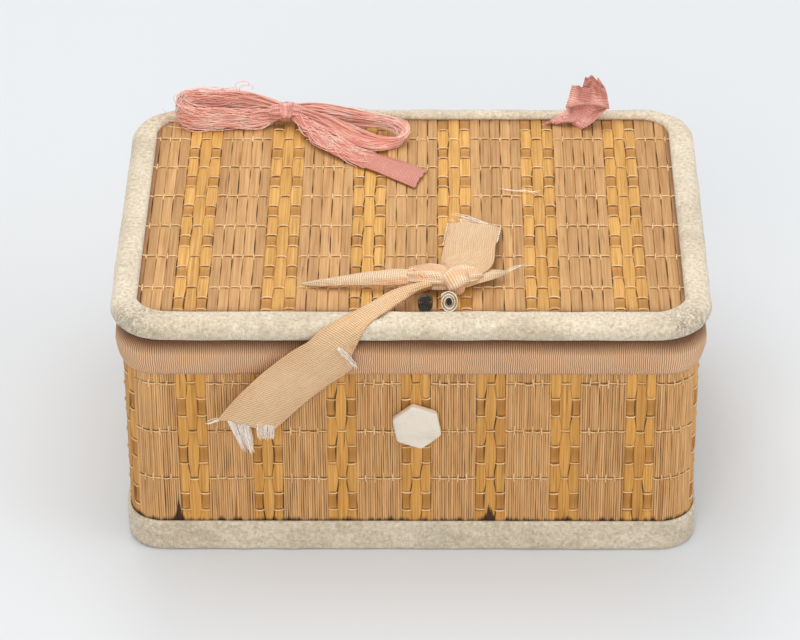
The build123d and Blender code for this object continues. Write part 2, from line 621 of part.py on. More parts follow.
# Two lift-out trays: card floor, four sides, dividers, floor silk and pull tabs
tray_wide = tray_half_x - TRAY_SPLIT / 2
tray_deep = 2 * tray_half_y
tray_mid = (tray_half_x + TRAY_SPLIT / 2) / 2
inner_w = tray_wide - 2 * TRAY_CARD
inner_d = tray_deep - 2 * TRAY_CARD
floor_top = tray_bottom + TRAY_FLOOR
divider_top = tray_bottom + TRAY_HEIGHT - DIVIDER_DROP
for name, side in (("left", -1), ("right", 1)):
    mid = side * tray_mid
    with BuildPart() as tray_floor:
        with Locations((mid, 0, tray_bottom)):
            Box(inner_w, inner_d, TRAY_FLOOR, align=(Align.CENTER, Align.CENTER, Align.MIN))
    save(tray_floor.part, name + "_tray_floor")

    with BuildPart() as tray_long_sides:
        for end in (-1, 1):
            with Locations((mid + end * (tray_wide - TRAY_CARD) / 2, 0, tray_bottom)):
                Box(TRAY_CARD, inner_d, TRAY_HEIGHT, align=(Align.CENTER, Align.CENTER, Align.MIN))
        top_edges = tray_long_sides.edges().filter_by(Axis.Y).group_by(Axis.Z)[-1]
        fillet(top_edges, TRAY_CARD * 0.4)
    save(tray_long_sides.part, name + "_tray_long_sides")

    with BuildPart() as tray_ends:
        for end in (-1, 1):
            with Locations((mid, end * (tray_deep - TRAY_CARD) / 2, tray_bottom)):
                Box(tray_wide, TRAY_CARD, TRAY_HEIGHT, align=(Align.CENTER, Align.CENTER, Align.MIN))
        top_edges = tray_ends.edges().filter_by(Axis.X).group_by(Axis.Z)[-1]
        fillet(top_edges, TRAY_CARD * 0.4)
    save(tray_ends.part, name + "_tray_ends")

    cross_y = inner_d / 6 if side < 0 else -inner_d / 6
    with BuildPart() as tray_dividers:
        with Locations((mid, cross_y, floor_top)):
            Box(inner_w, DIVIDER, divider_top - floor_top, align=(Align.CENTER, Align.CENTER, Align.MIN))
        free = inner_d / 2 - abs(cross_y) - DIVIDER / 2
        toward = 1 if cross_y > 0 else -1
        with Locations((mid, cross_y + toward * (DIVIDER + free) / 2, floor_top)):
            Box(DIVIDER, free - 2 * FIT, divider_top - floor_top, align=(Align.CENTER, Align.CENTER, Align.MIN))
    save(tray_dividers.part, name + "_tray_dividers")

    cell_w = (inner_w - DIVIDER) / 2
    long_cell = inner_d - free - DIVIDER
    with BuildPart() as tray_silk:
        cells = [(mid, -toward * (inner_d - long_cell) / 2, inner_w, long_cell),
                 (mid - (cell_w + DIVIDER) / 2, toward * (inner_d - free) / 2, cell_w, free),
                 (mid + (cell_w + DIVIDER) / 2, toward * (inner_d - free) / 2, cell_w, free)]
        for cx, cy, cw, cd in cells:
            with BuildSketch(Plane.XY.offset(floor_top)):
                with Locations((cx, cy)):
                    Rectangle(cw - 2 * AIR, cd - 2 * AIR)
            extrude(amount=SILK)
    save(tray_silk.part, name + "_tray_silk")

    with BuildPart() as tray_tabs:
        for end in (-1, 1):
            with BuildSketch(Plane(origin=(mid + end * inner_w / 2, -toward * (inner_d - long_cell) / 2, 0),
                                   x_dir=(0, -end, 0), z_dir=(-end, 0, 0))):
                with Locations((0, tray_bottom + TRAY_HEIGHT - 1.0 - TAB_HEIGHT / 2)):
                    Rectangle(TAB_WIDTH, TAB_HEIGHT)
            extrude(amount=TAB_THICK)
        fillet(tray_tabs.edges().filter_by(Axis.Y).group_by(Axis.Z)[-1], TAB_THICK * 0.3)
    save(tray_tabs.part, name + "_tray_tabs")
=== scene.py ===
"""Looks of a straw-matting sewing box with a ribbon-hinged lid and two lift-out trays. Metres, +Z up."""

import math

import bpy
import numpy as np
from mathutils import Matrix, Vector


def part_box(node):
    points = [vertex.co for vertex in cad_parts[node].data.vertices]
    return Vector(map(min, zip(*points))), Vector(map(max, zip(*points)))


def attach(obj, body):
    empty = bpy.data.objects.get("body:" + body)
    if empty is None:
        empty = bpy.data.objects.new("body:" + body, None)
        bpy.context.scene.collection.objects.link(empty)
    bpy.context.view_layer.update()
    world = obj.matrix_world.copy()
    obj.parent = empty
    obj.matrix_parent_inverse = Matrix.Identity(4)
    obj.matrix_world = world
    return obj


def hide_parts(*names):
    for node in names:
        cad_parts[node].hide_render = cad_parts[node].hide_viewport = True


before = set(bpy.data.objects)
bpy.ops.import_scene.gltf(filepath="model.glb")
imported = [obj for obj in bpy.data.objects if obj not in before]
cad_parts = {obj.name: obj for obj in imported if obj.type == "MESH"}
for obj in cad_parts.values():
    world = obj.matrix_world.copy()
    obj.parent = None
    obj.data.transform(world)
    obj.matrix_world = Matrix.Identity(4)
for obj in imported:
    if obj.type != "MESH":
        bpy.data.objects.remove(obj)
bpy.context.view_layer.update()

# Camera, floor and light.
# A long lens looks down on the box's front from the photograph's angle, and the floor is a pale sheet that
# curves up far behind it. Wide soft lamps stand above, in front and on the right; a smaller one behind
# throws short shadows forward.
elevation = math.radians(33.5)
turn = math.radians(0.743)
roll = math.radians(-0.362)
distance = 1.0717
target = np.array([-0.00357, 0.0, 0.0405])

view_back = np.array([0.0, -math.cos(elevation), math.sin(elevation)])
view_right = np.array([1.0, 0.0, 0.0])
view_up = np.cross(view_back, view_right)
turned = np.array([[math.cos(turn), -math.sin(turn), 0.0],
                   [math.sin(turn), math.cos(turn), 0.0],
                   [0.0, 0.0, 1.0]])
camera_place = turned @ (target + view_back * distance)
camera_right = turned @ (math.cos(roll) * view_right + math.sin(roll) * view_up)
camera_up = turned @ (math.cos(roll) * view_up - math.sin(roll) * view_right)
camera_back = turned @ view_back

camera_data = bpy.data.cameras.new("camera")
camera_data.lens = 165.67
camera_data.sensor_width = 36.0
camera_data.clip_end = 50.0
camera = bpy.data.objects.new("camera", camera_data)
camera_axes = np.eye(4)
camera_axes[:3] = np.column_stack([camera_right, camera_up, camera_back, camera_place])
camera.matrix_world = Matrix(camera_axes.tolist())
bpy.context.collection.objects.link(camera)
bpy.context.scene.camera = camera


def soft_lamp(name, place, aim, size, power, colour):
    """Round area lamp at place, turned so that it shines at aim."""
    data = bpy.data.lights.new(name, "AREA")
    data.shape = "DISK"
    data.size = size
    data.energy = power
    data.color = colour
    lamp = bpy.data.objects.new(name, data)
    toward = np.array(aim) - np.array(place)
    pitch = math.atan2(math.hypot(toward[0], toward[1]), -toward[2])
    heading = math.atan2(toward[1], toward[0]) - math.pi / 2
    lamp.rotation_euler = (pitch, 0.0, heading)
    lamp.location = place
    bpy.context.collection.objects.link(lamp)


warm_light = (1.0, 0.985, 0.96)
soft_lamp("lamp_top", place=(-0.12, 0.1, 1.5), aim=(0.0, 0.0, 0.03), size=1.7, power=14.0,
          colour=warm_light)
soft_lamp("lamp_rear", place=(-0.15, 0.80, 1.15), aim=(0.0, 0.0, 0.05), size=0.50, power=2.8,
          colour=warm_light)
soft_lamp("lamp_front", place=(-0.35, -1.7, 1.0), aim=(0.0, 0.0, 0.04), size=1.2, power=12.5,
          colour=(1.0, 0.98, 0.95))
soft_lamp("lamp_right", place=(1.4, -0.5, 0.8), aim=(0.0, 0.0, 0.04), size=1.3, power=7.0,
          colour=(0.95, 0.98, 1.0))

bpy.context.scene.view_settings.view_transform = "Standard"
world = bpy.data.worlds.new("studio")
bpy.context.scene.world = world
world.use_nodes = True
world.node_tree.nodes["Background"].inputs["Color"].default_value = (0.93, 0.96, 1.0, 1.0)
world.node_tree.nodes["Background"].inputs["Strength"].default_value = 0.53


def grid_piece(name, points, uv=None, tags=None, close_u=False, close_v=False):
    """One mesh from a stack of grids. points is (k, m, n, 3) and uv (k, m', n', 2), one more row or column
    where that way round is closed, or zero if left out. Quads join neighbours; tags are point values for the
    material to read."""
    k, m, n = points.shape[:3]
    if uv is None:
        uv = np.zeros((k, m + close_u, n + close_v, 2))
    rows = np.arange(m if close_u else m - 1)
    cols = np.arange(n if close_v else n - 1)
    i, j = np.meshgrid(rows, cols, indexing="ij")
    corner_i = np.stack([i, i + 1, i + 1, i], -1)
    corner_j = np.stack([j, j, j + 1, j + 1], -1)
    quad = (corner_i % m) * n + corner_j % n
    faces = (quad[None] + (np.arange(k) * m * n)[:, None, None, None]).reshape(-1, 4)
    corner_uv = uv[:, corner_i, corner_j].reshape(-1, 2)
    mesh = bpy.data.meshes.new(name)
    mesh.vertices.add(k * m * n)
    mesh.vertices.foreach_set("co", points.reshape(-1).astype(np.float32))
    mesh.loops.add(faces.size)
    mesh.loops.foreach_set("vertex_index", faces.reshape(-1).astype(np.int32))
    mesh.polygons.add(len(faces))
    mesh.polygons.foreach_set("loop_start", (np.arange(len(faces)) * 4).astype(np.int32))
    mesh.update(calc_edges=True)
    mesh.uv_layers.new(name="flat").data.foreach_set("uv", corner_uv.reshape(-1).astype(np.float32))
    for tag, values in (tags or {}).items():
        layer = mesh.attributes.new(tag, "FLOAT", "POINT")
        layer.data.foreach_set("value", np.broadcast_to(values, (k, m, n)).reshape(-1).astype(np.float32))
    mesh.polygons.foreach_set("use_smooth", np.ones(len(faces), bool))
    mesh.validate()
    piece = bpy.data.objects.new(name, mesh)
    bpy.context.collection.objects.link(piece)
    return piece


floor_reach = 3.0
bend_start, bend_radius = 1.2, 0.6
bend = np.linspace(0.2, 1.5708, 8)
rear_y = bend_start + bend_radius
floor_x = np.linspace(-floor_reach, floor_reach, 2)
floor_y = np.concatenate([np.linspace(-floor_reach, bend_start, 8), bend_start + bend_radius * np.sin(bend),
                          [rear_y, rear_y]])
floor_z = np.concatenate([np.zeros(8), bend_radius - bend_radius * np.cos(bend), [1.4, floor_reach]])
floor_points = np.stack(np.broadcast_arrays(floor_x[:, None], floor_y, floor_z), -1)
floor = grid_piece("floor", floor_points[None], floor_points[None, ..., :2])
floor_finish = bpy.data.materials.new("pale_floor")
floor_finish.use_nodes = True
floor_finish.node_tree.nodes["Principled BSDF"].inputs["Base Color"].default_value = (0.66, 0.675, 0.69, 1.0)
floor_finish.node_tree.nodes["Principled BSDF"].inputs["Roughness"].default_value = 0.8
floor.data.materials.append(floor_finish)

# Foot.
# The paper-covered base and the cream kid band round the foot of the walls. The band is cut from soft
# split skin, pasted round the foot and turned in under the base, so its face is a little lumpy and soiled.
def node_box(node):
    """Lower and upper corner of a node's box, as arrays."""
    return (np.array(corner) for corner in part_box(node))


def unit(vectors):
    """Vectors scaled to length one along the last axis."""
    return vectors / np.maximum(np.linalg.norm(vectors, axis=-1, keepdims=True), 1e-12)


body_low, body_high = node_box("wall_mat")
body_plan = (*(body_high - body_low)[:2], 0.010)
band_high = np.array(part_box("base_binding")[1])
band_top = band_high[2]
band_thick = band_high[0] - body_high[0]
turn_in = 0.009


def outline(s, width, depth, corner):
    """Rounded rectangle by arc length s from the middle of the front towards +X: the corner centre moves
    along the straights while the outward angle turns in the corners. Returns points, outward normals and
    the length."""
    hx, hy, quarter = width / 2 - corner, depth / 2 - corner, math.pi / 2 * corner
    lengths = [0, hx, quarter, 2 * hy, quarter, 2 * hx, quarter, 2 * hy, quarter, hx]
    marks = np.cumsum(lengths)
    s = np.mod(s, marks[-1])
    cx = np.interp(s, marks, [0, hx, hx, hx, hx, -hx, -hx, -hx, -hx, 0])
    cy = np.interp(s, marks, [-hy, -hy, -hy, hy, hy, hy, hy, -hy, -hy, -hy])
    angle = np.interp(s, marks, np.pi / 2 * np.array([-1, -1, 0, 0, 1, 1, 2, 2, 3, 3]))
    normal = np.stack([np.cos(angle), np.sin(angle)], -1)
    return np.stack([cx, cy], -1) + corner * normal, normal, marks[-1]


def unevenness(u, v, wave, seed, count=7):
    """Smooth hand-made unevenness from -1 to 1: a sum of sine ripples in seeded directions, about `wave`
    long."""
    rng = np.random.default_rng(seed)
    heading = rng.uniform(0, 2 * np.pi, count)
    rate = 2 * np.pi / (wave * rng.uniform(0.6, 1.6, count))
    phase = rng.uniform(0, 2 * np.pi, count)
    waves = np.sin(u[..., None] * rate * np.cos(heading) + v[..., None] * rate * np.sin(heading) + phase)
    return waves.sum(-1) / math.sqrt(count) / 1.6


def swept_piece(name, profile, plan, steps, lump, wave, seed, hold):
    """Profile carried round a rounded rectangle, whose width, depth and corner are its plan. profile(ny)
    gives (points, 2): distance outward from the outline and height, for an outward normal's y part; hold
    is 1 where the skin is free to be uneven, in lumps about `wave` long, and 0 where it is pasted."""
    length = outline(np.zeros(1), *plan)[2]
    s = np.arange(steps) / steps * length
    place, normal, _ = outline(s, *plan)
    section = np.stack([profile(ny) for ny in normal[:, 1]])
    gaps = np.linalg.norm(np.diff(section, axis=1, append=section[:, :1]), axis=2)
    run = np.concatenate([np.zeros((steps, 1)), np.cumsum(gaps, 1)], 1)
    tangent = np.roll(section, -1, 1) - np.roll(section, 1, 1)
    outward = unit(np.stack([tangent[..., 1], -tangent[..., 0]], -1))
    circle = length / (2 * np.pi)
    ring = s[:, None] / circle
    ring_x, ring_y = circle * np.cos(ring), circle * np.sin(ring)
    bumps = unevenness(ring_x + 3 * run[:, :-1], ring_y - 2 * run[:, :-1], wave, seed)
    section = section + outward * (lump * bumps * hold)[..., None]
    flat = place[:, None] + normal[:, None] * section[..., :1]
    points = np.concatenate([flat, section[..., 1:]], -1)
    around = (np.arange(steps + 1) / steps * length)[:, None]
    uv = np.stack(np.broadcast_arrays(around, np.concatenate([run, run[:1]], 0)), -1)
    return grid_piece(name, points[None], uv[None], close_u=True, close_v=True)


class Finish:
    """A material under construction: a node tree with short calls for the few node kinds used here."""

    def __init__(self, name, roughness=0.6, sheen=0.0, specular=0.5, coat=0.0):
        self.material = bpy.data.materials.new(name)
        self.material.use_nodes = True
        self.tree = self.material.node_tree
        self.shader = self.tree.nodes["Principled BSDF"]
        self.shader.inputs["Roughness"].default_value = roughness
        self.shader.inputs["Sheen Weight"].default_value = sheen
        self.shader.inputs["Specular IOR Level"].default_value = specular
        self.shader.inputs["Coat Weight"].default_value = coat

    def feed(self, socket, value):
        if isinstance(value, bpy.types.NodeSocket):
            self.tree.links.new(value, socket)
        else:
            socket.default_value = value

    def node(self, kind, **settings):
        made = self.tree.nodes.new(kind)
        for key, value in settings.items():
            setattr(made, key, value)
        return made

    def place(self, source="Object", scale=(1, 1, 1)):
        """Object or UV coordinates, scaled."""
        coordinate = self.node("ShaderNodeTexCoord")
        mapping = self.node("ShaderNodeMapping")
        mapping.inputs["Scale"].default_value = scale
        self.feed(mapping.inputs["Vector"], coordinate.outputs[source])
        return mapping.outputs["Vector"]

    def noise(self, vector, scale, detail=4.0, rough=0.55):
        made = self.node("ShaderNodeTexNoise")
        self.feed(made.inputs["Vector"], vector)
        made.inputs["Scale"].default_value = scale
        made.inputs["Detail"].default_value = detail
        made.inputs["Roughness"].default_value = rough
        return made.outputs["Fac"]

    def tag(self, name):
        return self.node("ShaderNodeAttribute", attribute_name=name).outputs["Fac"]

    def ramp(self, fac, *stops):
        """Colour ramp through (position, colour) stops."""
        made = self.node("ShaderNodeValToRGB")
        self.feed(made.inputs["Fac"], fac)
        ends = made.color_ramp.elements
        while len(ends) < len(stops):
            ends.new(0.5)
        for end, (position, colour) in zip(ends, stops):
            end.position = position
            end.color = (*colour, 1.0)
        return made.outputs["Color"]

    def mask(self, fac, low, high, first, last):
        """Grey ramp from first at low to last at high."""
        return self.ramp(fac, (low, (first,) * 3), (high, (last,) * 3))

    def split(self, vector):
        """Outputs X, Y and Z of a vector."""
        made = self.node("ShaderNodeSeparateXYZ")
        self.feed(made.inputs[0], vector)
        return made.outputs

    def math(self, operation, a, b=0.0, c=0.0):
        made = self.node("ShaderNodeMath", operation=operation)
        for socket, value in zip(made.inputs, (a, b, c)):
            self.feed(socket, value)
        return made.outputs[0]

    def ripple(self, place, shift, pitch):
        """Sine wave along a place moved by shift, one wave to a pitch."""
        return self.math("SINE", self.math("MULTIPLY", self.math("ADD", place, shift), 2 * math.pi / pitch))

    def mix(self, fac, a, b, blend="MIX"):
        made = self.node("ShaderNodeMix", data_type="RGBA", blend_type=blend)
        self.feed(made.inputs[0], fac)
        self.feed(made.inputs[6], a if isinstance(a, bpy.types.NodeSocket) else (*a, 1.0))
        self.feed(made.inputs[7], b if isinstance(b, bpy.types.NodeSocket) else (*b, 1.0))
        return made.outputs[2]

    def bump(self, height, strength, depth, under=None):
        made = self.node("ShaderNodeBump")
        self.feed(made.inputs["Height"], height)
        made.inputs["Strength"].default_value = strength
        made.inputs["Distance"].default_value = depth
        if under is not None:
            self.feed(made.inputs["Normal"], under)
        return made.outputs["Normal"]

    def finish(self, colour, normal=None, roughness=None):
        self.feed(self.shader.inputs["Base Color"], colour)
        if normal is not None:
            self.feed(self.shader.inputs["Normal"], normal)
        if roughness is not None:
            self.feed(self.shader.inputs["Roughness"], roughness)
        return self.material


def kid_finish(name, soil, shade, creased=None):
    """Soft split skin: cream, with a felted nap of fine paler and greyer flecks over broad soft clouds,
    and grime in patches. soil is how strong the grime is, shade darkens the whole skin, and past creased,
    a place in x and y, the front corners have crinkles with painted shade in them, which lie where a noise
    passes through its middle."""
    skin = Finish(name, roughness=0.95, sheen=0.25, specular=0.1)
    cream = np.array([[0.56, 0.46, 0.33], [0.665, 0.56, 0.415], [0.74, 0.64, 0.49]]) * shade
    fleck, pale, grey = np.array([[0.36, 0.275, 0.17], [0.92, 0.86, 0.74], [0.33, 0.27, 0.19]]) * shade
    here = skin.place()
    clouds = skin.noise(here, 60.0, 5.0, 0.6)
    colour = skin.ramp(clouds, (0.30, cream[0]), (0.47, cream[1]), (0.70, cream[2]))
    flecks = skin.noise(here, 950.0, 4.0, 0.75)
    colour = skin.mix(skin.mask(flecks, 0.50, 0.70, 0.0, 0.75), colour, fleck)
    colour = skin.mix(skin.mask(flecks, 0.30, 0.47, 0.65, 0.0), colour, pale)
    grime = skin.noise(here, 34.0, 8.0, 0.74)
    colour = skin.mix(skin.mask(grime, 0.52, 0.74, 0.0, soil), colour, grey)
    pores = skin.noise(here, 420.0, 4.0, 0.65)
    normal = skin.bump(flecks, 0.5, 0.0003, skin.bump(pores, 0.6, 0.0009))
    if creased:
        at = skin.split(here)
        side = skin.math("SUBTRACT", skin.math("ABSOLUTE", at["X"]), creased[0])
        front = skin.math("SUBTRACT", creased[1], at["Y"])
        near = skin.math("MINIMUM", skin.math("MULTIPLY", skin.math("MINIMUM", side, front), 60.0), 0.5)
        ripple = skin.math("ABSOLUTE", skin.math("SUBTRACT", skin.noise(here, 620.0, 3.0, 0.65), 0.5))
        crinkle = skin.math("MULTIPLY_ADD", ripple, -10.0, near)
        # Painted shade in the crinkles, with their dents bumped in below.
        folds = skin.mask(crinkle, 0.0, 0.50, 0.0, 0.55)
        colour = skin.mix(folds, colour, grey * 0.6)
        normal = skin.bump(skin.math("MULTIPLY", folds, -1.0), 0.6, 0.0006, normal)
    return skin.finish(colour, normal)


def band_profile(ny):
    """Section of the foot band: up the outer face with rounded edges, back down behind it, and in under
    the base."""
    ease = np.linspace(0, np.pi / 2, 5)
    foot = np.stack([band_thick - 0.0011 * (1 - np.sin(ease)), 0.0013 * (1 - np.cos(ease))], 1)
    face = np.stack([np.full(9, band_thick), np.linspace(0.0020, band_top - 0.0008, 9)], 1)
    lip = np.stack([band_thick * np.cos(ease), band_top - 0.0006 + 0.0006 * np.sin(ease)], 1)
    paste = 0.00008
    behind = np.array([[paste, band_top - 0.002], [paste, 0.004], [paste, band_thick],
                       [-turn_in, band_thick], [-turn_in, 0.0], [-turn_in / 2, 0.0], [-turn_in / 4, 0.0]])
    return np.concatenate([foot, face, lip, behind])


band_hold = np.repeat([0.0, 0.6, 1.0, 0.0], [2, 3, 12, 9])
foot_band = swept_piece("foot_band", band_profile, body_plan, steps=560, lump=0.00022, wave=0.012, seed=3,
                        hold=band_hold)
foot_band.data.materials.append(kid_finish("foot_kid", soil=0.62, shade=0.95))
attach(foot_band, "box")
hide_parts("base_binding")


def paper_finish(name, pale, deep):
    """Plain pasted paper: fibres, faint stains and a trace of unevenness from the paste under it."""
    sheet = Finish(name, roughness=0.85, specular=0.2)
    here = sheet.place()
    stains = sheet.noise(here, 24.0, 6.0, 0.6)
    colour = sheet.ramp(stains, (0.3, deep), (0.62, pale))
    fibres = sheet.noise(sheet.place(scale=(1.0, 1.0, 0.25)), 1400.0, 3.0, 0.6)
    colour = sheet.mix(sheet.mask(fibres, 0.55, 0.75, 0.0, 0.22), colour, deep)
    return sheet.finish(colour, sheet.bump(fibres, 0.25, 0.0001, sheet.bump(stains, 0.2, 0.0008)))


def coat(node, finish):
    """Gives a node of the CAD its one material."""
    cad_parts[node].data.materials.clear()
    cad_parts[node].data.materials.append(finish)


lining_paper = paper_finish("lining_paper", pale=(0.78, 0.68, 0.55), deep=(0.58, 0.47, 0.35))
raw_card = paper_finish("raw_card", pale=(0.36, 0.28, 0.19), deep=(0.24, 0.18, 0.12))
for node in ("base_cover", "wall_lining", "lid_lining"):
    coat(node, lining_paper)
for node in ("base_board", "wall_board", "lid_board"):
    coat(node, raw_card)

# Straw matting on the walls.
# Split straws stand side by side and are held by rows of pale thread. Groups of plain tan straws alternate
# with three broad golden ones; the outer two of these dip under between a pair of threads, the middle one
# swells there.
straw_pitch = 0.0161
pair_reach = 0.0029
wall_period = 0.02075
wall_golden = 0.00272
wall_first_golden = -0.0608
wall_row = 0.0245
straw_low = body_low[2]
straw_high = body_high[2]


def straw_edges(low, high, first_golden, period, golden, plain_count):
    """Left edges and kinds of the straws from low to high: per period three golden straws, then the plain
    ones. Kinds: 0 plain, 1 golden outer, 2 golden middle. The edges have the end mark as one more
    value."""
    plain = (period - 3 * golden) / plain_count
    widths = np.array([golden] * 3 + [plain] * plain_count)
    kinds = np.array([1, 2, 1] + [0] * plain_count)
    first = math.floor((low - first_golden) / period) - 1
    count = math.ceil((high - low) / period) + 3
    lefts = first_golden - 1.5 * golden + (first + np.arange(count))[:, None] * period
    lefts = (lefts + np.concatenate([[0], np.cumsum(widths)[:-1]])).reshape(-1)
    kind = np.tile(kinds, count)
    right_edge = lefts + np.tile(widths, count)
    keep = (right_edge > low + 0.0003) & (lefts < high - 0.0003)
    lefts, kind = np.clip(lefts[keep], low, high), kind[keep]
    return np.append(lefts, high), kind


def straw_shape(edges, kind, chosen, t, row, seed, gap, pinch, section):
    """Straws as grids across and along. Each edge wanders a little, and the dark gap beside it opens
    between the thread rows. Across, a straw has the given section: places from -1 to 1 and heights. Golden
    outer straws sink between their pair of threads, and the edges they share with the middle one sway by
    pinch, so that it is broad there and drawn in at the row. Returns across places, heights and point tags
    of the straws of the chosen kinds."""
    rng = np.random.default_rng(seed)
    phase = (t - row) / straw_pitch
    sunk_reach, tied_reach = 0.0027, 0.0016
    sunk_depth, middle_swell, middle_tied, plain_tied = 0.00036, 0.00012, 0.00016, 0.00012
    edge_wander, height_spread = 0.00008, 0.00014
    half = np.exp(-((np.mod(phase, 1.0) - 0.5) * straw_pitch / sunk_reach) ** 4)
    tied = np.exp(-((np.mod(phase + 0.5, 1.0) - 0.5) * straw_pitch / tied_reach) ** 2)
    sway = pinch * np.tanh(0.5 + 1.6 * np.cos(2 * np.pi * (phase - 0.5)))
    k = len(kind)
    middle_left = np.append(-1, kind) == 2
    middle_right = np.append(kind, -1) == 2
    wander = edge_wander * np.sin(t * rng.uniform(60, 160, (k + 1, 1)) + rng.uniform(0, 6.28, (k + 1, 1)))
    wander = wander + (middle_left * 1.0 - middle_right)[:, None] * sway
    waver = np.sin(t * rng.uniform(150, 420, (k + 1, 1)) + rng.uniform(0, 6.28, (k + 1, 1)))
    open_share = np.clip(rng.uniform(-0.7, 0.6, (k + 1, 1)) + 0.9 * waver, 0, 1)
    share = (0.10 + 0.90 * open_share) * (1 - 0.85 * tied)
    opening = gap * share
    left = edges[:-1, None] + wander[:-1] + opening[:-1] / 2
    right = edges[1:, None] + wander[1:] - opening[1:] / 2
    outer, middle = (kind == 1)[:, None], (kind == 2)[:, None]
    across, crown = section
    tilt = rng.uniform(-0.06, 0.06, (k, 1, 1)) * across * 0.001
    lift = np.where(middle, middle_swell * half - middle_tied * tied, -plain_tied * tied)
    lift = np.where(outer, -sunk_depth * half, lift) - rng.uniform(0.0, height_spread, (k, 1))
    places = (left + right)[..., None] / 2 + (right - left)[..., None] / 2 * across
    heights = crown + tilt + lift[..., None]
    shape = places.shape
    side_share = np.where(across < 0, share[:-1, :, None], share[1:, :, None])
    keep = np.isin(kind, chosen)
    tags = {"golden": np.broadcast_to((kind > 0)[:, None, None] * 1.0, shape)[keep],
            "tone": np.broadcast_to(rng.uniform(0, 1, (k, 1, 1)), shape)[keep],
            "sunk": np.broadcast_to((outer * half)[..., None], shape)[keep],
            "outer": np.broadcast_to((outer * 1.0)[..., None], shape)[keep],
            # edge: how open the gap beside the straw is, for painted shade there.
            "edge": (np.abs(across) ** 24 * side_share)[keep]}
    return places[keep], heights[keep], tags


def thread_shape(start, end, rise, radius, bow):
    """Threads as tubes: each goes from start to end and rises over the straw as a flat-topped arc, six
    points round. start, end are (k, 2) across and along places; rise is (k,). Returns (k, rings, 6, 3):
    across, along, height."""
    ease = np.linspace(0, 1, 8)
    arc = 1 - np.abs(2 * ease - 1) ** 4
    line = start[:, None] + (end - start)[:, None] * ease[:, None]
    line[..., 1] += bow[:, None] * np.sin(np.pi * ease)
    dive = 0.0005
    height = rise[:, None] * arc - dive * (1 - arc)
    heading = (end - start) / np.linalg.norm(end - start, axis=1, keepdims=True)
    beside = np.stack([-heading[:, 1], heading[:, 0]], -1)[:, None, None]
    angle = np.arange(6) / 6 * 2 * np.pi
    flat = line[:, :, None] + beside * (radius * np.cos(angle))[:, None]
    return np.concatenate([flat, (height[..., None] + radius * np.sin(angle))[..., None]], -1)


def sewn_rows(edges, kind, t_low, t_high, row, seed):
    """All thread crossings of a mat: one per plain and middle straw on each row, a pair on each outer
    golden straw half way between rows, and short upright ticks at the plain straws' joins."""
    rng = np.random.default_rng(seed)
    margin, overlap, row_spread, end_spread = 0.001, 0.0001, 0.00012, 0.00008
    rows = row + straw_pitch * np.arange(-8, 12)
    rows = rows[(rows > t_low + margin) & (rows < t_high - margin)]
    between = row + straw_pitch * (np.arange(-9, 12) + 0.5)
    halves = (between[:, None] + [-pair_reach, pair_reach]).reshape(-1)
    halves = halves[(halves > t_low + margin) & (halves < t_high - margin)]
    left, right = edges[:-1], edges[1:]
    single, double = kind != 1, kind == 1
    a, r = np.meshgrid(np.flatnonzero(single), rows, indexing="ij")
    b, h = np.meshgrid(np.flatnonzero(double), halves, indexing="ij")
    straw = np.concatenate([a.reshape(-1), b.reshape(-1)])
    at = np.concatenate([r.reshape(-1), h.reshape(-1)]) + rng.normal(0, row_spread, straw.size)
    start = np.stack([left[straw] - overlap, at + rng.normal(0, end_spread, straw.size)], -1)
    end = np.stack([right[straw] + overlap, at + rng.normal(0, end_spread, straw.size)], -1)
    rise = np.full(straw.size, 0.00004)
    threads = thread_shape(start, end, rise, radius=0.00022, bow=rng.normal(0, 0.0001, straw.size))
    joins = np.flatnonzero((kind[:-1] == 0) & (kind[1:] == 0)) + 1
    c, q = np.meshgrid(joins, rows, indexing="ij")
    c, q = c.reshape(-1), q.reshape(-1) + rng.normal(0, 0.0002, c.size)
    keep = rng.uniform(0, 1, c.size) < 0.9
    c, q = c[keep], q[keep]
    reach = rng.uniform(0.0010, 0.0018, c.size)
    lean = rng.normal(0, 0.00012, c.size)
    start = np.stack([edges[c] + lean, q - reach], -1)
    end = np.stack([edges[c] - lean, q + reach], -1)
    rise = np.full(c.size, 0.00008)
    ticks = thread_shape(start, end, rise, radius=0.00021, bow=np.zeros(c.size))
    return np.concatenate([threads, ticks])


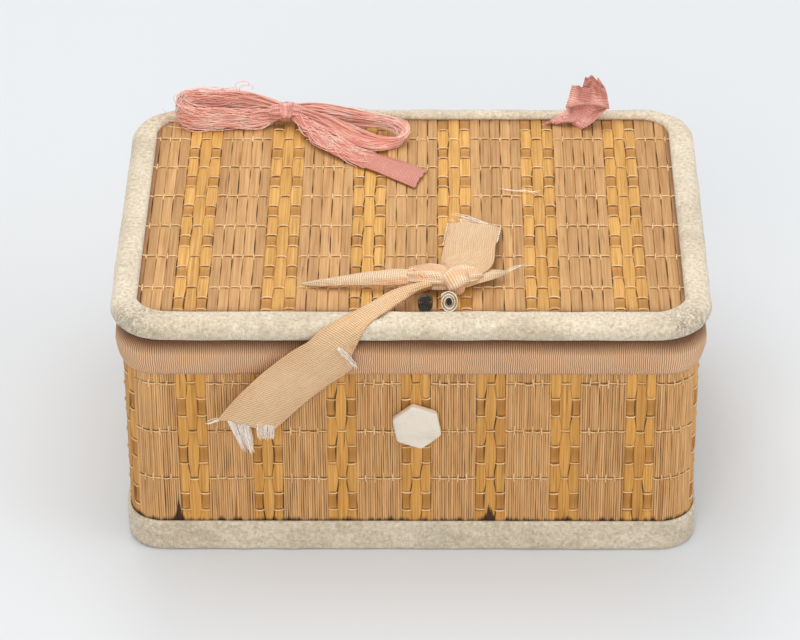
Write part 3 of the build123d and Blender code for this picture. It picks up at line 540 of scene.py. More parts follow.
def straw_finish(name, row, bright, fine, lines, rich=(1.0, 1.0, 1.0), dirt_low=None, dirt_runs=()):
    """Split straw: each straw its own tan or gold, with fine lengthwise fibres, thin dark splits, painted
    shade at the edges where gaps open and on sunken parts, painted shadow in brown lines where the threads
    cross, darker along a seam, and a satin surface. row is one thread row's place, bright scales the tan
    and is set per face as painted light for how the light falls there, fine is how many fibre streaks go
    to a metre across, lines how dark the splits are, rich deepens the gold; dirt gathers below dirt_low,
    runs up from it in streaks, and stands higher at the x places dirt_runs."""
    straw = Finish(name, roughness=0.5, specular=0.3)
    fibres = straw.noise(straw.place("UV", (fine, 26.0, 1.0)), 1.0, 3.0, 0.6)
    splits = straw.noise(straw.place("UV", (fine * 0.55, 46.0, 1.0)), 1.0, 2.0, 0.5)
    broad = straw.noise(straw.place("UV", (fine * 0.2, 60.0, 1.0)), 1.0, 5.0, 0.65)
    tans = np.array([[0.43, 0.212, 0.075], [0.565, 0.308, 0.120], [0.700, 0.425, 0.190]]) * bright
    tan = straw.ramp(fibres, (0.30, tans[0]), (0.48, tans[1]), (0.72, tans[2]))
    golds = np.array([[0.46, 0.215, 0.042], [0.64, 0.335, 0.085], [0.80, 0.48, 0.160]]) * rich
    gold = straw.ramp(fibres, (0.28, golds[0]), (0.50, golds[1]), (0.74, golds[2]))
    colour = straw.mix(straw.tag("golden"), tan, gold)
    tone = straw.ramp(straw.tag("tone"), (0.0, (0.84, 0.80, 0.76)), (0.5, (1.0, 1.0, 1.0)),
                      (1.0, (1.12, 1.11, 1.08)))
    colour = straw.mix(0.8, colour, tone, "MULTIPLY")
    # Painted shade on the sunken parts of the golden outer straws, where they dip under the threads.
    colour = straw.mix(straw.math("MULTIPLY", straw.tag("sunk"), 0.75), colour, (0.39, 0.168, 0.032))
    shade = straw.ramp(broad, (0.28, (0.80, 0.72, 0.62)), (0.52, (1.0, 1.0, 1.0)),
                       (0.75, (1.08, 1.08, 1.10)))
    colour = straw.mix(0.8, colour, shade, "MULTIPLY")
    colour = straw.mix(straw.mask(splits, 0.27, 0.36, lines, 0.0), colour, (0.20, 0.085, 0.025))
    # Painted shade in the open gaps at the straws' edges.
    colour = straw.mix(straw.math("MULTIPLY", straw.tag("edge"), 0.95), colour, (0.09, 0.034, 0.009))
    # Darker along the seam where the mat meets the binding.
    seam = straw.math("MULTIPLY", straw.tag("seam"), straw.math("MULTIPLY_ADD", broad, 3.0, -0.45))
    colour = straw.mix(straw.math("MINIMUM", seam, 0.85), colour, (0.20, 0.085, 0.03))
    # Painted shadow of the threads: brown lines along each row, and along the pair on the outer golden
    # straws.
    along = straw.split(straw.place("UV"))["Y"]
    phase = straw.math("MULTIPLY_ADD", along, 1 / straw_pitch, 0.5 - row / straw_pitch)
    off_row = straw.math("ABSOLUTE", straw.math("SUBTRACT", straw.math("FRACT", phase), 0.5))
    to_row = straw.math("MULTIPLY", off_row, 1000 * straw_pitch)
    pair_place = straw.math("MULTIPLY", straw.tag("outer"), 500 * straw_pitch - 1000 * pair_reach)
    to_pair = straw.math("SUBTRACT", to_row, pair_place)
    to_thread = straw.math("MULTIPLY_ADD", broad, 0.5, straw.math("ABSOLUTE", to_pair))
    colour = straw.mix(straw.mask(to_thread, 0.42, 0.84, 0.88, 0.0), colour, (0.21, 0.085, 0.022))
    if dirt_low is not None:
        at = straw.split(straw.place())
        near = straw.math("MULTIPLY_ADD", at["Z"], -300.0, 300.0 * dirt_low + 0.66)
        streaks = straw.noise(straw.place("UV", (420.0, 14.0, 1.0)), 1.0, 3.0, 0.6)
        patchy = straw.math("ADD", near, straw.math("MULTIPLY_ADD", streaks, 1.6, -0.75))
        for run in dirt_runs:
            beside = straw.math("ABSOLUTE", straw.math("SUBTRACT", at["X"], run))
            spread = straw.math("MAXIMUM", straw.math("MULTIPLY_ADD", beside, -1000.0, 1.6), 0.0)
            ragged = straw.math("MULTIPLY_ADD", fibres, 3.2, -0.6)
            patchy = straw.math("MULTIPLY_ADD", spread, ragged, patchy)
        colour = straw.mix(straw.mask(patchy, 0.40, 0.80, 0.0, 0.95), colour, (0.03, 0.011, 0.004))
    return straw.finish(colour, straw.bump(fibres, 0.5, 0.00022, straw.bump(splits, 0.35, 0.0004)))


def thread_finish(name):
    """Twisted cotton thread, yellowed nearly to the colour of the straw."""
    cotton = Finish(name, roughness=0.8, specular=0.2)
    here = cotton.place()
    age = cotton.noise(here, 160.0, 4.0, 0.6)
    colour = cotton.ramp(age, (0.3, (0.56, 0.335, 0.135)), (0.65, (0.84, 0.59, 0.33)))
    return cotton.finish(colour, cotton.bump(cotton.noise(here, 2600.0, 2.0), 0.4, 0.0002))


wall_length = outline(np.zeros(1), *body_plan)[2]
wall_span = (-wall_length / 2, wall_length / 2, wall_first_golden, wall_period, wall_golden)
fine_edges, fine_kind = straw_edges(*wall_span, plain_count=20)
wall_edges, wall_kind = straw_edges(*wall_span, plain_count=5)
broad_section = (np.array([-1.0, -0.99, -0.86, -0.45, 0.0, 0.45, 0.86, 0.99, 1.0]),
                 0.001 * np.array([-0.9, -0.10, -0.035, -0.01, 0.0, -0.01, -0.035, -0.10, -0.9]))
fine_section = (np.array([-1.0, -0.9, 0.0, 0.9, 1.0]), 0.001 * np.array([-0.6, -0.07, 0.0, -0.07, -0.6]))


def on_wall(across, along, height):
    """Wraps flat mat coordinates round the walls: across runs round the box, along is height above the
    table."""
    place, normal, _ = outline(across, *body_plan)
    flat = place + normal * height[..., None]
    return np.concatenate([flat, np.broadcast_to(along, across.shape)[..., None]], -1)


def straw_piece(name, chosen, steps, section, gap):
    """Mesh of the wall straws of the chosen kinds, seen from outside."""
    t = np.linspace(straw_low, straw_high, steps)
    across, height, tags = straw_shape(fine_edges, fine_kind, chosen, t, wall_row, seed=11, gap=gap,
                                       pinch=0.00030, section=section)
    along = np.broadcast_to(t[None, :, None], across.shape)
    tags = {key: value[:, :, ::-1] for key, value in tags.items()}
    uv = np.stack([across, along], -1)
    return grid_piece(name, on_wall(across, along, height)[:, :, ::-1], uv[:, :, ::-1], tags)


# Painted light: the walls' copy of the straw is made lighter than the lid's, for the weaker light on the
# upright walls.
wall_finish = straw_finish("wall_straw", wall_row, bright=1.12, fine=2300.0, lines=0.88,
                           rich=(0.95, 0.88, 0.77), dirt_low=straw_low + 0.0090,
                           dirt_runs=(-0.0656, 0.0221))
plain_straw = straw_piece("wall_plain_straw", (0,), steps=30, section=fine_section, gap=0.00010)
golden_straw = straw_piece("wall_golden_straw", (1, 2), steps=62, section=broad_section, gap=0.00022)
sewn = sewn_rows(wall_edges, wall_kind, straw_low + 0.008, straw_high, wall_row, seed=12)
sewn_points = on_wall(sewn[..., 0], sewn[..., 1], sewn[..., 2])
wall_thread = grid_piece("wall_thread", sewn_points, close_v=True)
cotton_thread = thread_finish("cotton_thread")
for piece, finish in ((plain_straw, wall_finish), (golden_straw, wall_finish), (wall_thread, cotton_thread)):
    piece.data.materials.append(finish)
    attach(piece, "box")
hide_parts("wall_mat")
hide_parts("wall_mat")

# Padded roll on the wall top.
# A band of ribbed silk drawn over wadding and pasted down inside and out; the ribs stand upright and the
# silk is faded and a little puckered along its lower edge.
roll_low, roll_high = node_box("rim_roll")
roll_radius = 0.0035
roll_bulge = 0.0017
roll_centre = roll_high[2] - roll_radius


def roll_profile(ny):
    """Section of the roll: bulging outer side, half-round top, inner side and flat foot."""
    middle = roll_bulge - roll_radius
    up = np.linspace(0, 1, 8, endpoint=False)
    bulge = 0.0001 + roll_bulge * np.sin(up * np.pi / 2) ** 0.8
    height = roll_low[2] + up * (roll_centre - roll_low[2])
    bow = np.linspace(0, np.pi, 17)
    outer = np.stack([bulge, height], 1)
    top = np.stack([middle + roll_radius * np.cos(bow), roll_centre + roll_radius * np.sin(bow)], 1)
    inner = np.stack([2 * middle - bulge, height], 1)[::-1]
    return np.concatenate([outer, top, inner])


roll_hold = np.concatenate([np.linspace(0.3, 1, 8), np.ones(17) * 0.7, np.linspace(1, 0.3, 8)])
rim_silk = swept_piece("rim_silk", roll_profile, body_plan, steps=900, lump=0.00016, wave=0.007, seed=21,
                       hold=roll_hold)


def silk_finish(name, rib, pale, deep, worn, rib_depth, shadow_from=None):
    """Ribbed silk: ribs `rib` apart, a thread-by-thread weave over them, faded clouds and worn pale
    places, and a painted brown shadow that deepens upwards from a given height, under the edge of the lid."""
    silk = Finish(name, roughness=0.6, sheen=0.1, specular=0.3)
    flat = silk.place("UV")
    at = silk.split(flat)
    wobble = silk.math("MULTIPLY", silk.noise(flat, 260.0, 2.0), rib * 1.3)
    ribs = silk.ripple(at["X"], wobble, rib)
    picks = silk.ripple(at["Y"], wobble, rib * 0.55)
    weave = silk.math("MULTIPLY_ADD", picks, 0.35, ribs)
    # The ribs are coloured deep in their hollows and pale on their crowns: partly the weave's own tone,
    # partly painted shade and highlight.
    shade = silk.math("MULTIPLY_ADD", weave, 0.36, 0.44)
    colour = silk.ramp(shade, (0.22, deep), (0.62, pale))
    clouds = silk.noise(silk.place(), 45.0, 5.0, 0.62)
    colour = silk.mix(silk.mask(clouds, 0.42, 0.72, 0.0, 0.35), colour, worn)
    if shadow_from is not None:
        # Painted shadow of the lid's edge on the roll: brown that deepens upwards towards the lid.
        height = silk.split(silk.place())["Z"]
        above = silk.math("MULTIPLY_ADD", height, 330.0, -330.0 * shadow_from)
        lid_shadow = silk.math("MULTIPLY_ADD", clouds, 0.8, silk.math("SUBTRACT", above, 0.4))
        colour = silk.mix(silk.mask(lid_shadow, 0.0, 1.0, 0.0, 0.80), colour, (0.15, 0.052, 0.018))
    return silk.finish(colour, silk.bump(weave, 0.75, rib_depth))


rim_finish = silk_finish("rim_silk", rib=0.00056, pale=(1.0, 0.615, 0.345), deep=(0.40, 0.180, 0.075),
                         worn=(0.90, 0.56, 0.32), rib_depth=0.00016, shadow_from=roll_high[2] - 0.0036)
rim_silk.data.materials.append(rim_finish)
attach(rim_silk, "box")
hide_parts("rim_roll")

# Shell button.
# A six-cornered slip of mother-of-pearl on the front, its corners rubbed round and its face a little
# domed, sewn through the matting with a thread that the lid's long ribbon can be looped over.
button_low, button_high = node_box("front_button")
button_mid = (button_low + button_high) / 2
button_corners = 0.0146
button_turn = math.radians(40.0)
button_dome = 0.00025


def rounded_hexagon(angle, corners, power=28):
    """Radius of a hexagon with rubbed corners: one over a high power sum of how far each of the six sides
    is reached, which runs them softly into each other."""
    sides = button_turn + math.pi / 6 + np.arange(6) * math.pi / 3
    reach = np.clip(np.cos(angle[..., None] - sides), 0, None) / (corners / 2 * math.cos(math.pi / 6))
    return (reach ** power).sum(-1) ** (-1 / power)


around = np.arange(97) / 96 * 2 * np.pi
ease = np.linspace(0, np.pi / 2, 6)
rim = 0.0006
inset = np.concatenate([np.linspace(1, 0, 12)[:-1], np.zeros(13)])
round_in = np.concatenate([np.full(11, rim), rim * (1 - np.sin(ease)),
                           [0.0], rim * (1 - np.cos(ease))])
front_y = np.concatenate([np.full(11, button_low[1]), button_low[1] + rim * (1 - np.cos(ease)),
                          [button_mid[1]], button_high[1] - rim * (1 - np.sin(ease))])
front_y = front_y - button_dome * np.concatenate([1 - np.linspace(0, 1, 11) ** 2, np.zeros(13)])
radius = rounded_hexagon(around, button_corners)
tiny = 1e-5
size = np.maximum((radius - round_in[:, None]) * (1 - inset[:, None]), tiny)
size = np.concatenate([size, np.full((1, 97), tiny)])
shell_y = np.append(front_y, button_high[1])[:, None]
shell = np.stack(np.broadcast_arrays(button_mid[0] + size * np.cos(around), shell_y,
                                     button_mid[2] + size * np.sin(around)), -1)
shell_button = grid_piece("shell_button", shell[None, :, :-1], shell[None, ..., ::2], close_v=True)
pearl = Finish("pearl", roughness=0.28, specular=0.5, coat=0.35)
bands = pearl.noise(pearl.place(scale=(1.0, 1.0, 2.4)), 130.0, 5.0, 0.6)
shine = pearl.ramp(bands, (0.30, (0.66, 0.59, 0.47)), (0.45, (0.74, 0.66, 0.54)), (0.58, (0.77, 0.66, 0.56)),
                   (0.72, (0.74, 0.68, 0.56)))
specks = pearl.noise(pearl.place(), 900.0, 3.0, 0.6)
shine = pearl.mix(pearl.mask(specks, 0.62, 0.75, 0.0, 0.5), shine, (0.42, 0.33, 0.24))
shell_button.data.materials.append(pearl.finish(shine, pearl.bump(bands, 0.2, 0.0004)))
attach(shell_button, "box")
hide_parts("front_button")
coat("button_thread", cotton_thread)

# Inside of the box.
# Four strips of card stand against the lined walls and carry the trays; a silk cushion stuffed with wadding
# covers the floor and is pasted down underneath.
coat("tray_ledges", lining_paper)
pad_smaller = np.array([0.0012, 0.0012, 0.0006])


def cushion(name, node, cell, swell, pasted, seed):
    """Cushion from the block of one node: a copy made smaller by pad_smaller, remeshed in cells, blown up
    as cloth with its movement held under swell, then gathered along its edge by shallow folds square to
    it, with rounded edges and sides that pull in between the corners. pasted is -1 if the lower face is
    stuck down and 1 if the upper one is."""
    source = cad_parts[node]
    block = bpy.data.objects.new(name, source.data.copy())
    bpy.context.collection.objects.link(block)
    merge = block.modifiers.new("merge", "WELD")
    merge.merge_threshold = 0.00001
    remesh = block.modifiers.new("remesh", "REMESH")
    remesh.mode = "VOXEL"
    remesh.voxel_size = cell
    mesh = bpy.data.meshes.new_from_object(block.evaluated_get(bpy.context.evaluated_depsgraph_get()))
    mesh.name = name
    mesh.materials.clear()
    block.modifiers.clear()
    block.data = mesh
    count = len(mesh.vertices)
    start = np.empty(count * 3, np.float32)
    mesh.vertices.foreach_get("co", start)
    start = start.reshape(-1, 3).astype(float)
    low, high = start.min(0), start.max(0)
    middle, extent = (low + high) / 2, high - low
    middle[2] = low[2] if pasted < 0 else high[2]
    start = middle + (start - middle) * (1 - pad_smaller / extent)
    mesh.vertices.foreach_set("co", start.reshape(-1).astype(np.float32))
    mesh.update()
    moved = start
    cloth = block.modifiers.new("cloth", "CLOTH")
    cloth.settings.quality = 5
    cloth.settings.mass = 0.15
    cloth.settings.use_pressure = True
    cloth.settings.uniform_pressure_force = 4.0
    cloth.settings.effector_weights.gravity = 0.0
    cloth.settings.shrink_min = -0.02
    cloth.point_cache.frame_start = 1
    cloth.point_cache.frame_end = 20
    for step in range(1, 21):
        bpy.context.scene.frame_set(step)
    blown = block.evaluated_get(bpy.context.evaluated_depsgraph_get()).to_mesh()
    moved = np.empty(count * 3, np.float32)
    blown.vertices.foreach_get("co", moved)
    moved = moved.reshape(-1, 3).astype(float)
    block.modifiers.clear()
    bpy.context.scene.frame_set(1)
    shift = moved - start
    length = np.linalg.norm(shift, axis=1, keepdims=True)
    shift = shift * np.minimum(1, swell / np.maximum(length, 1e-9))
    free = np.clip(pasted * (middle[2] - start[:, 2:]) / extent[2] * 1.6, 0, 1)
    fold_rate, fold_reach, fold_depth = 1500, 0.0075, 0.00042
    lump, lump_wave, lump_reach = 0.00030, 0.024, 0.010
    round_reach, pull_in = 0.011, 0.0016
    half = extent[:2] / 2 - pad_smaller[:2] / 2
    to_edge = np.clip(half - np.abs(start[:, :2] - middle[:2]), 0, None)
    near_x, near_y = to_edge[:, 0], to_edge[:, 1]
    edge = np.minimum(near_x, near_y)
    beside_x = np.sin(start[:, 1] * fold_rate + 2 * unevenness(start[:, 1], near_x, 0.02, seed))
    beside_y = np.sin(start[:, 0] * fold_rate + 2 * unevenness(start[:, 0], near_y, 0.02, seed + 1))
    gather = np.where(near_x < near_y, beside_x, beside_y) * np.exp(-edge / fold_reach) * fold_depth
    lumps = lump * unevenness(start[:, 0], start[:, 1], lump_wave, seed + 2)
    shift[:, 2] += -pasted * (gather + lumps * np.minimum(1, edge / lump_reach))
    placed = start + shift * free
    inward = 1 - np.minimum(1, edge / round_reach)
    rounding = 0.30 + 0.70 * np.sqrt(1 - inward ** 2)
    placed[:, 2] = middle[2] + (placed[:, 2] - middle[2]) * rounding
    bow = pull_in * np.cos(np.pi * (start[:, :2] - middle[:2]) / (2 * half))[:, ::-1]
    placed[:, :2] -= bow * (start[:, :2] - middle[:2]) / half
    mesh.vertices.foreach_set("co", placed.reshape(-1).astype(np.float32))
    mesh.polygons.foreach_set("use_smooth", np.ones(len(mesh.polygons), bool))
    corners = np.empty(len(mesh.loops), np.int32)
    mesh.loops.foreach_get("vertex_index", corners)
    flat = mesh.uv_layers.new(name="flat")
    flat.data.foreach_set("uv", placed[corners][:, :2].reshape(-1).astype(np.float32))
    mesh.update()
    smooth = block.modifiers.new("smooth", "SUBSURF")
    smooth.levels = 1
    smooth.render_levels = 1
    return block


pad_silk = silk_finish("pad_silk", rib=0.00050, pale=(0.80, 0.50, 0.40), deep=(0.62, 0.32, 0.25),
                       worn=(0.84, 0.60, 0.50), rib_depth=0.00006)
floor_cushion = cushion("floor_cushion", "floor_pad", cell=0.0020, swell=0.0012, pasted=-1, seed=101)
floor_cushion.data.materials.append(pad_silk)
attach(floor_cushion, "box")
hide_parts("floor_pad")

# Hinge ribbons on the wall.
# Each pink ribbon comes down through the lid and goes once round the roll, through a slit in the wall
# below it, drawn tight enough to gather into fine lengthwise pleats.
hinge_pleats = 6
rear_wall = body_plan[1] / 2
pink_wide = 0.010
ribbon_thick = 0.00022


def thicken(piece, thick):
    """Gives a sheet its thickness, half to each side."""
    body = piece.modifiers.new("thickness", "SOLIDIFY")
    body.thickness = thick
    body.offset = 0.0


def hinge_ribbon(name, node):
    """Closed loop of ribbon round the rear roll's section, a little larger than it, with pleats across its
    width."""
    low, high = node_box(node)
    section = roll_profile(1.0)
    mid = np.array([roll_bulge - roll_radius, (roll_low[2] + roll_high[2]) / 2])
    half = np.abs(section - mid).max(0)
    closed = np.concatenate([section, section[-1:] * 0.5 + section[:1] * 0.5])
    slack, pleat_depth, side_gap = 0.00028, 0.00020, 0.00015
    ring = mid + (closed - mid) * (1 + slack / half)
    wide = high[0] - low[0] - 2 * side_gap
    side = np.linspace(-0.5, 0.5, 49)
    pleat = np.sin(2 * np.pi * hinge_pleats * side)
    across = ring[:, None] + unit(ring - mid)[:, None] * pleat_depth * pleat[:, None]
    x = (low[0] + high[0]) / 2 + side * wide
    points = np.stack(np.broadcast_arrays(x, rear_wall + across[..., 0], across[..., 1]), -1)
    run = np.concatenate([[0], np.cumsum(np.linalg.norm(np.diff(ring, axis=0, append=ring[:1]), axis=1))])
    uv = np.stack(np.broadcast_arrays(run[:, None], (side + 0.5) * pink_wide), -1)
    # crease: the pleat places, for painted shade in their valleys.
    crease = np.broadcast_to(pleat, across.shape[:2])
    piece = grid_piece(name, points[None], uv[None], {"crease": crease[None]}, close_u=True)
    thicken(piece, ribbon_thick)
    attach(piece, "box")
    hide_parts(node)
    return piece


def ribbon_finish(name, pale, deep, shadow, lengthwise, thread, folds):
    """Silk ribbon: fine threads `thread` apart, lengthwise streaks where it is worn, and painted shadow in
    the folds and pleat valleys, as strong as `folds`."""
    silk = Finish(name, roughness=0.42, sheen=0.12, specular=0.45)
    flat = silk.place("UV")
    at = silk.split(flat)
    wobble = silk.math("MULTIPLY", silk.noise(flat, 300.0, 2.0), thread * 1.4)
    cross = silk.ripple(at["X"], wobble, thread)
    warp = silk.ripple(at["Y"], wobble, thread)
    streaks = silk.noise(silk.place("UV", (90.0, 2600.0, 1.0)), 1.0, 3.0, 0.6)
    weave = silk.math("MULTIPLY_ADD", warp, 0.5, cross)
    woven = silk.math("MULTIPLY_ADD", weave, 0.22, 0.28)
    shade = silk.math("ADD", woven, silk.math("MULTIPLY", streaks, lengthwise))
    # The weave is coloured deep to pale across its threads: partly their own tone, partly painted shade and
    # highlight.
    colour = silk.ramp(shade, (0.20, deep), (0.80, pale))
    # Painted shadow: the crease tag darkens pleat valleys, folded layers and the insides of folds.
    folded = silk.ramp(silk.tag("crease"), (0.0, (0.75,) * 3), (0.001, (0.55,) * 3), (0.6, (0.0,) * 3))
    colour = silk.mix(silk.math("MULTIPLY", folded, folds), colour, shadow)
    clouds = silk.noise(silk.place(), 70.0, 4.0, 0.6)
    colour = silk.mix(silk.mask(clouds, 0.45, 0.75, 0.0, 0.35), colour, pale)
    relief = silk.math("ADD", weave, silk.math("MULTIPLY", streaks, 2.0))
    return silk.finish(colour, silk.bump(relief, 0.7, 0.00012))


pink_silk = ribbon_finish("pink_silk", pale=(0.95, 0.53, 0.44), deep=(0.64, 0.25, 0.20),
                          shadow=(0.46, 0.10, 0.075), lengthwise=0.60, thread=0.00060, folds=0.6)
for side in ("left", "right"):
    hinge_ribbon(side + "_hinge_ribbon", side + "_hinge_turn").data.materials.append(pink_silk)

# Lift-out trays.
# Two shallow trays of thin card covered with cream paper, each parted into one long and two small cells. A
# piece of silk is laid puckered in every cell, and two folded ribbon tabs on the inner sides lift the
# tray.
tray_paper = paper_finish("tray_paper", pale=(0.82, 0.73, 0.60), deep=(0.66, 0.56, 0.43))
tray_silk = silk_finish("tray_silk", rib=0.00050, pale=(0.82, 0.53, 0.43), deep=(0.64, 0.34, 0.27),
                        worn=(0.86, 0.63, 0.53), rib_depth=0.00006)
silk_thick = 0.0002
pucker_rate, pucker_depth, pucker_reach, pucker_wave = 1900, 0.00024, 0.0050, 0.012
lining_gap, puff, puff_reach, puff_spread = 0.00034, 0.00050, 0.006, 0.00022
tab_gap, tab_fold, tab_open, tab_wave = 0.00014, 0.00026, 0.00012, 0.00006
divider = 0.0012
for side in ("left", "right"):
    for part in ("floor", "long_sides", "ends", "dividers"):
        coat(side + "_tray_" + part, tray_paper)
    floor_low, floor_high = node_box(side + "_tray_floor")
    wall_low, wall_high = node_box(side + "_tray_dividers")
    toward = 1.0 if wall_low[1] + wall_high[1] > 0 else -1.0
    cross = wall_low[1] if toward > 0 else wall_high[1]
    past = cross + toward * divider
    mid_x = (floor_low[0] + floor_high[0]) / 2
    near_end, far_end = (floor_low[1], floor_high[1]) if toward > 0 else (floor_high[1], floor_low[1])
    cells = np.array([[floor_low[0], floor_high[0], *sorted((near_end, cross))],
                      [floor_low[0], mid_x - divider / 2, *sorted((past, far_end))],
                      [mid_x + divider / 2, floor_high[0], *sorted((past, far_end))]])
    cells = cells + 0.0003 * np.array([1, -1, 1, -1])
    u, v = np.meshgrid(np.linspace(0, 1, 96), np.linspace(0, 1, 96), indexing="ij")
    x = cells[:, :1, None] + (cells[:, 1:2, None] - cells[:, :1, None]) * u
    y = cells[:, 2:3, None] + (cells[:, 3:, None] - cells[:, 2:3, None]) * v
    near_x = np.minimum(u, 1 - u) * (cells[:, 1] - cells[:, 0])[:, None, None]
    near_y = np.minimum(v, 1 - v) * (cells[:, 3] - cells[:, 2])[:, None, None]
    edge = np.minimum(near_x, near_y)
    beside_x = np.sin(y * pucker_rate + 2 * unevenness(y, x, pucker_wave, 111))
    beside_y = np.sin(x * pucker_rate + 2 * unevenness(x, y, pucker_wave, 112))
    pucker = np.where(near_x < near_y, beside_x, beside_y)
    puffed = puff * np.sqrt(np.clip(edge / puff_reach, 0, 1))
    puffed = puffed + puff_spread * unevenness(x, y, pucker_wave, 113)
    z = floor_high[2] + lining_gap + puffed + pucker_depth * pucker * np.exp(-edge / pucker_reach)
    panel = grid_piece(side + "_tray_lining", np.stack([x, y, z], -1), np.stack([x, y], -1))
    thicken(panel, silk_thick)
    panel.data.materials.append(tray_silk)
    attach(panel, side + "_tray")
    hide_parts(side + "_tray_silk")
    tabs_low, tabs_high = node_box(side + "_tray_tabs")
    for end, inward, word in ((tabs_low[0], 1.0, "left"), (tabs_high[0], -1.0, "right")):
        rise = tabs_high[2] - tabs_low[2] - 0.0006
        fold = np.linspace(0, np.pi, 11)
        up = np.linspace(0, 1, 14)
        off = tab_gap + np.concatenate([np.zeros(13), tab_fold * (1 - np.cos(fold)),
                                        2 * tab_fold + tab_open * up[1:]])
        high_z = np.concatenate([rise * up[:-1], rise + 0.0005 * np.sin(fold), rise * (1 - 0.94 * up[1:])])
        across = np.linspace(-0.5, 0.5, 17)
        wave = tab_wave * np.sin(9 * across + 3 * high_z[:, None] / rise)
        tab_y = (tabs_low[1] + tabs_high[1]) / 2 + across * (tabs_high[1] - tabs_low[1] - 0.0002)
        tab = np.stack(np.broadcast_arrays(end + inward * (off[:, None] + np.abs(wave)), tab_y,
                                           tabs_low[2] + high_z[:, None]), -1)
        run = np.concatenate([[0], np.cumsum(np.hypot(np.diff(off), np.diff(high_z)))])
        tab_uv = np.stack(np.broadcast_arrays(run[:, None], (across + 0.5) * pink_wide), -1)
        # A middling crease tag gives the tabs a little of the painted shadow colour.
        flat_tag = {"crease": np.full((1, *tab.shape[:2]), 0.5)}
        pull = grid_piece(side + "_tray_tab_" + word, tab[None], tab_uv[None], flat_tag)
        thicken(pull, silk_thick)
        pull.data.materials.append(pink_silk)
        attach(pull, side + "_tray")
        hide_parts(side + "_tray_tabs")

# Lid top.
# The same matting as the walls, cut to the lid with its straws from front to back, and sewn with the same
# thread.
lid_low, lid_high = node_box("lid_mat")
edge_low, edge_high = node_box("lid_binding")
lid_period = 0.02434
lid_golden = 0.00317
lid_first_golden = -0.0609
lid_row = -0.0054
lid_cut = 0.0072
seam_side, seam_front, seam_rear = 0.0756, -0.0502, 0.0541
lid_edges, lid_kind = straw_edges(lid_low[0], lid_high[0], lid_first_golden, lid_period, lid_golden,
                                  plain_count=5)
lid_t = np.linspace(lid_low[1], lid_high[1], 140)
across, height, tags = straw_shape(lid_edges, lid_kind, (0, 1, 2), lid_t, lid_row, seed=31, gap=0.00017,
                                   pinch=0.00014, section=broad_section)
to_side = np.minimum(across - lid_low[0], lid_high[0] - across)
reach = np.sqrt(np.clip(lid_cut ** 2 - np.clip(lid_cut - to_side, 0, None) ** 2, 0, None))
lid_y = np.clip(np.broadcast_to(lid_t[None, :, None], across.shape), lid_low[1] + lid_cut - reach,
                lid_high[1] - lid_cut + reach)
to_seam = np.minimum(seam_side - np.abs(across), np.minimum(lid_y - seam_front, seam_rear - lid_y))
# seam: nearness to the binding, where the finish makes the straw darker.
tags["seam"] = np.exp(-np.clip(to_seam, 0, None) / 0.0013)
lid_points = np.stack([across, lid_y, lid_high[2] + height], -1)[:, :, ::-1]
tags = {key: value[:, :, ::-1] for key, value in tags.items()}
lid_straw = grid_piece("lid_straw", lid_points, lid_points[..., :2], tags)
# Painted shade: the lid's copy of the straw is made a little darker than the walls', for the stronger light
# on its top.
lid_straw.data.materials.append(straw_finish("lid_straw", lid_row, bright=0.94, fine=1900.0, lines=0.62))
sewn = sewn_rows(lid_edges, lid_kind, lid_low[1] + 0.003, lid_high[1] - 0.003, lid_row, seed=32)
lid_thread = grid_piece("lid_thread", sewn + [0, 0, lid_high[2]], close_v=True)
lid_thread.data.materials.append(cotton_thread)
for piece in (lid_straw, lid_thread):
    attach(piece, "lid")
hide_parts("lid_mat")

# Lid binding.
# Cream kid rolled over the edge of the lid and sewn through: a soft round roll, broader in front than
# behind, with a felted nap, lumps from the wadding and grey soiling where hands have held it.
edge_plan = (*(edge_high - edge_low)[:2], 0.0155)
edge_thick = edge_high[2] - edge_low[2]
bind_front, bind_side, bind_rear = 0.0084, 0.0074, 0.0054
bind_corner = 0.0010
groove = 0.00325
mat_level = lid_high[2] - edge_low[2]


def binding_profile(ny):
    """Section of the roll, from the outline inward: half-round outer edge, low crown on top, rounded inner
    edge down to the straw, a groove that holds card and straw, and a lip below. ny is the outward normal's
    y part."""
    wide = bind_side + max(0.0, -ny) * (bind_front - bind_side) + max(0.0, ny) * (bind_rear - bind_side)
    wide += bind_corner * abs(ny) * math.sqrt(max(0.0, 1 - ny * ny))
    rise = edge_thick / 2
    over = np.linspace(np.pi, np.pi / 2, 9)
    outer = np.stack([-rise - rise * np.cos(over), rise + rise * np.sin(over)], 1)
    fall = np.linspace(np.pi / 2, 0, 6)
    inner_r = min(0.0016, wide - rise - 0.0004)
    flat = np.linspace(-rise, -(wide - inner_r), 4)[1:-1]
    top = np.stack([flat, np.full(2, edge_thick)], 1)
    tucked = mat_level - 0.0001
    inner = np.stack([-(wide - inner_r) - inner_r * np.cos(fall),
                      tucked + (edge_thick - tucked) * np.sin(fall)], 1)
    card = np.array([[-wide + groove, mat_level - 0.0002], [-wide + groove, 0.0009], [-wide, 0.0008]])
    lip_r = 0.0006
    tuck = np.linspace(0, -np.pi / 2, 3)
    lip = np.stack([-(wide - lip_r) - lip_r * np.cos(tuck), lip_r + lip_r * np.sin(tuck)], 1)
    under = np.linspace(-np.pi / 2, -np.pi, 9)[:-1]
    lower = np.stack([-rise - rise * np.cos(under), rise + rise * np.sin(under)], 1)
    return np.concatenate([outer, top, inner, card, lip, lower])[::-1] + [0, edge_low[2]]


binding_hold = np.concatenate([np.ones(11), np.linspace(1, 0.3, 6), np.zeros(6), np.full(8, 0.7)])[::-1]
lid_edge = swept_piece("lid_edge", binding_profile, edge_plan, steps=620, lump=0.00016, wave=0.015,
                       seed=41, hold=binding_hold)
lid_edge.data.materials.append(kid_finish("lid_kid", soil=0.52, shade=0.98, creased=(0.066, -0.044)))
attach(lid_edge, "lid")
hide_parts("lid_binding")

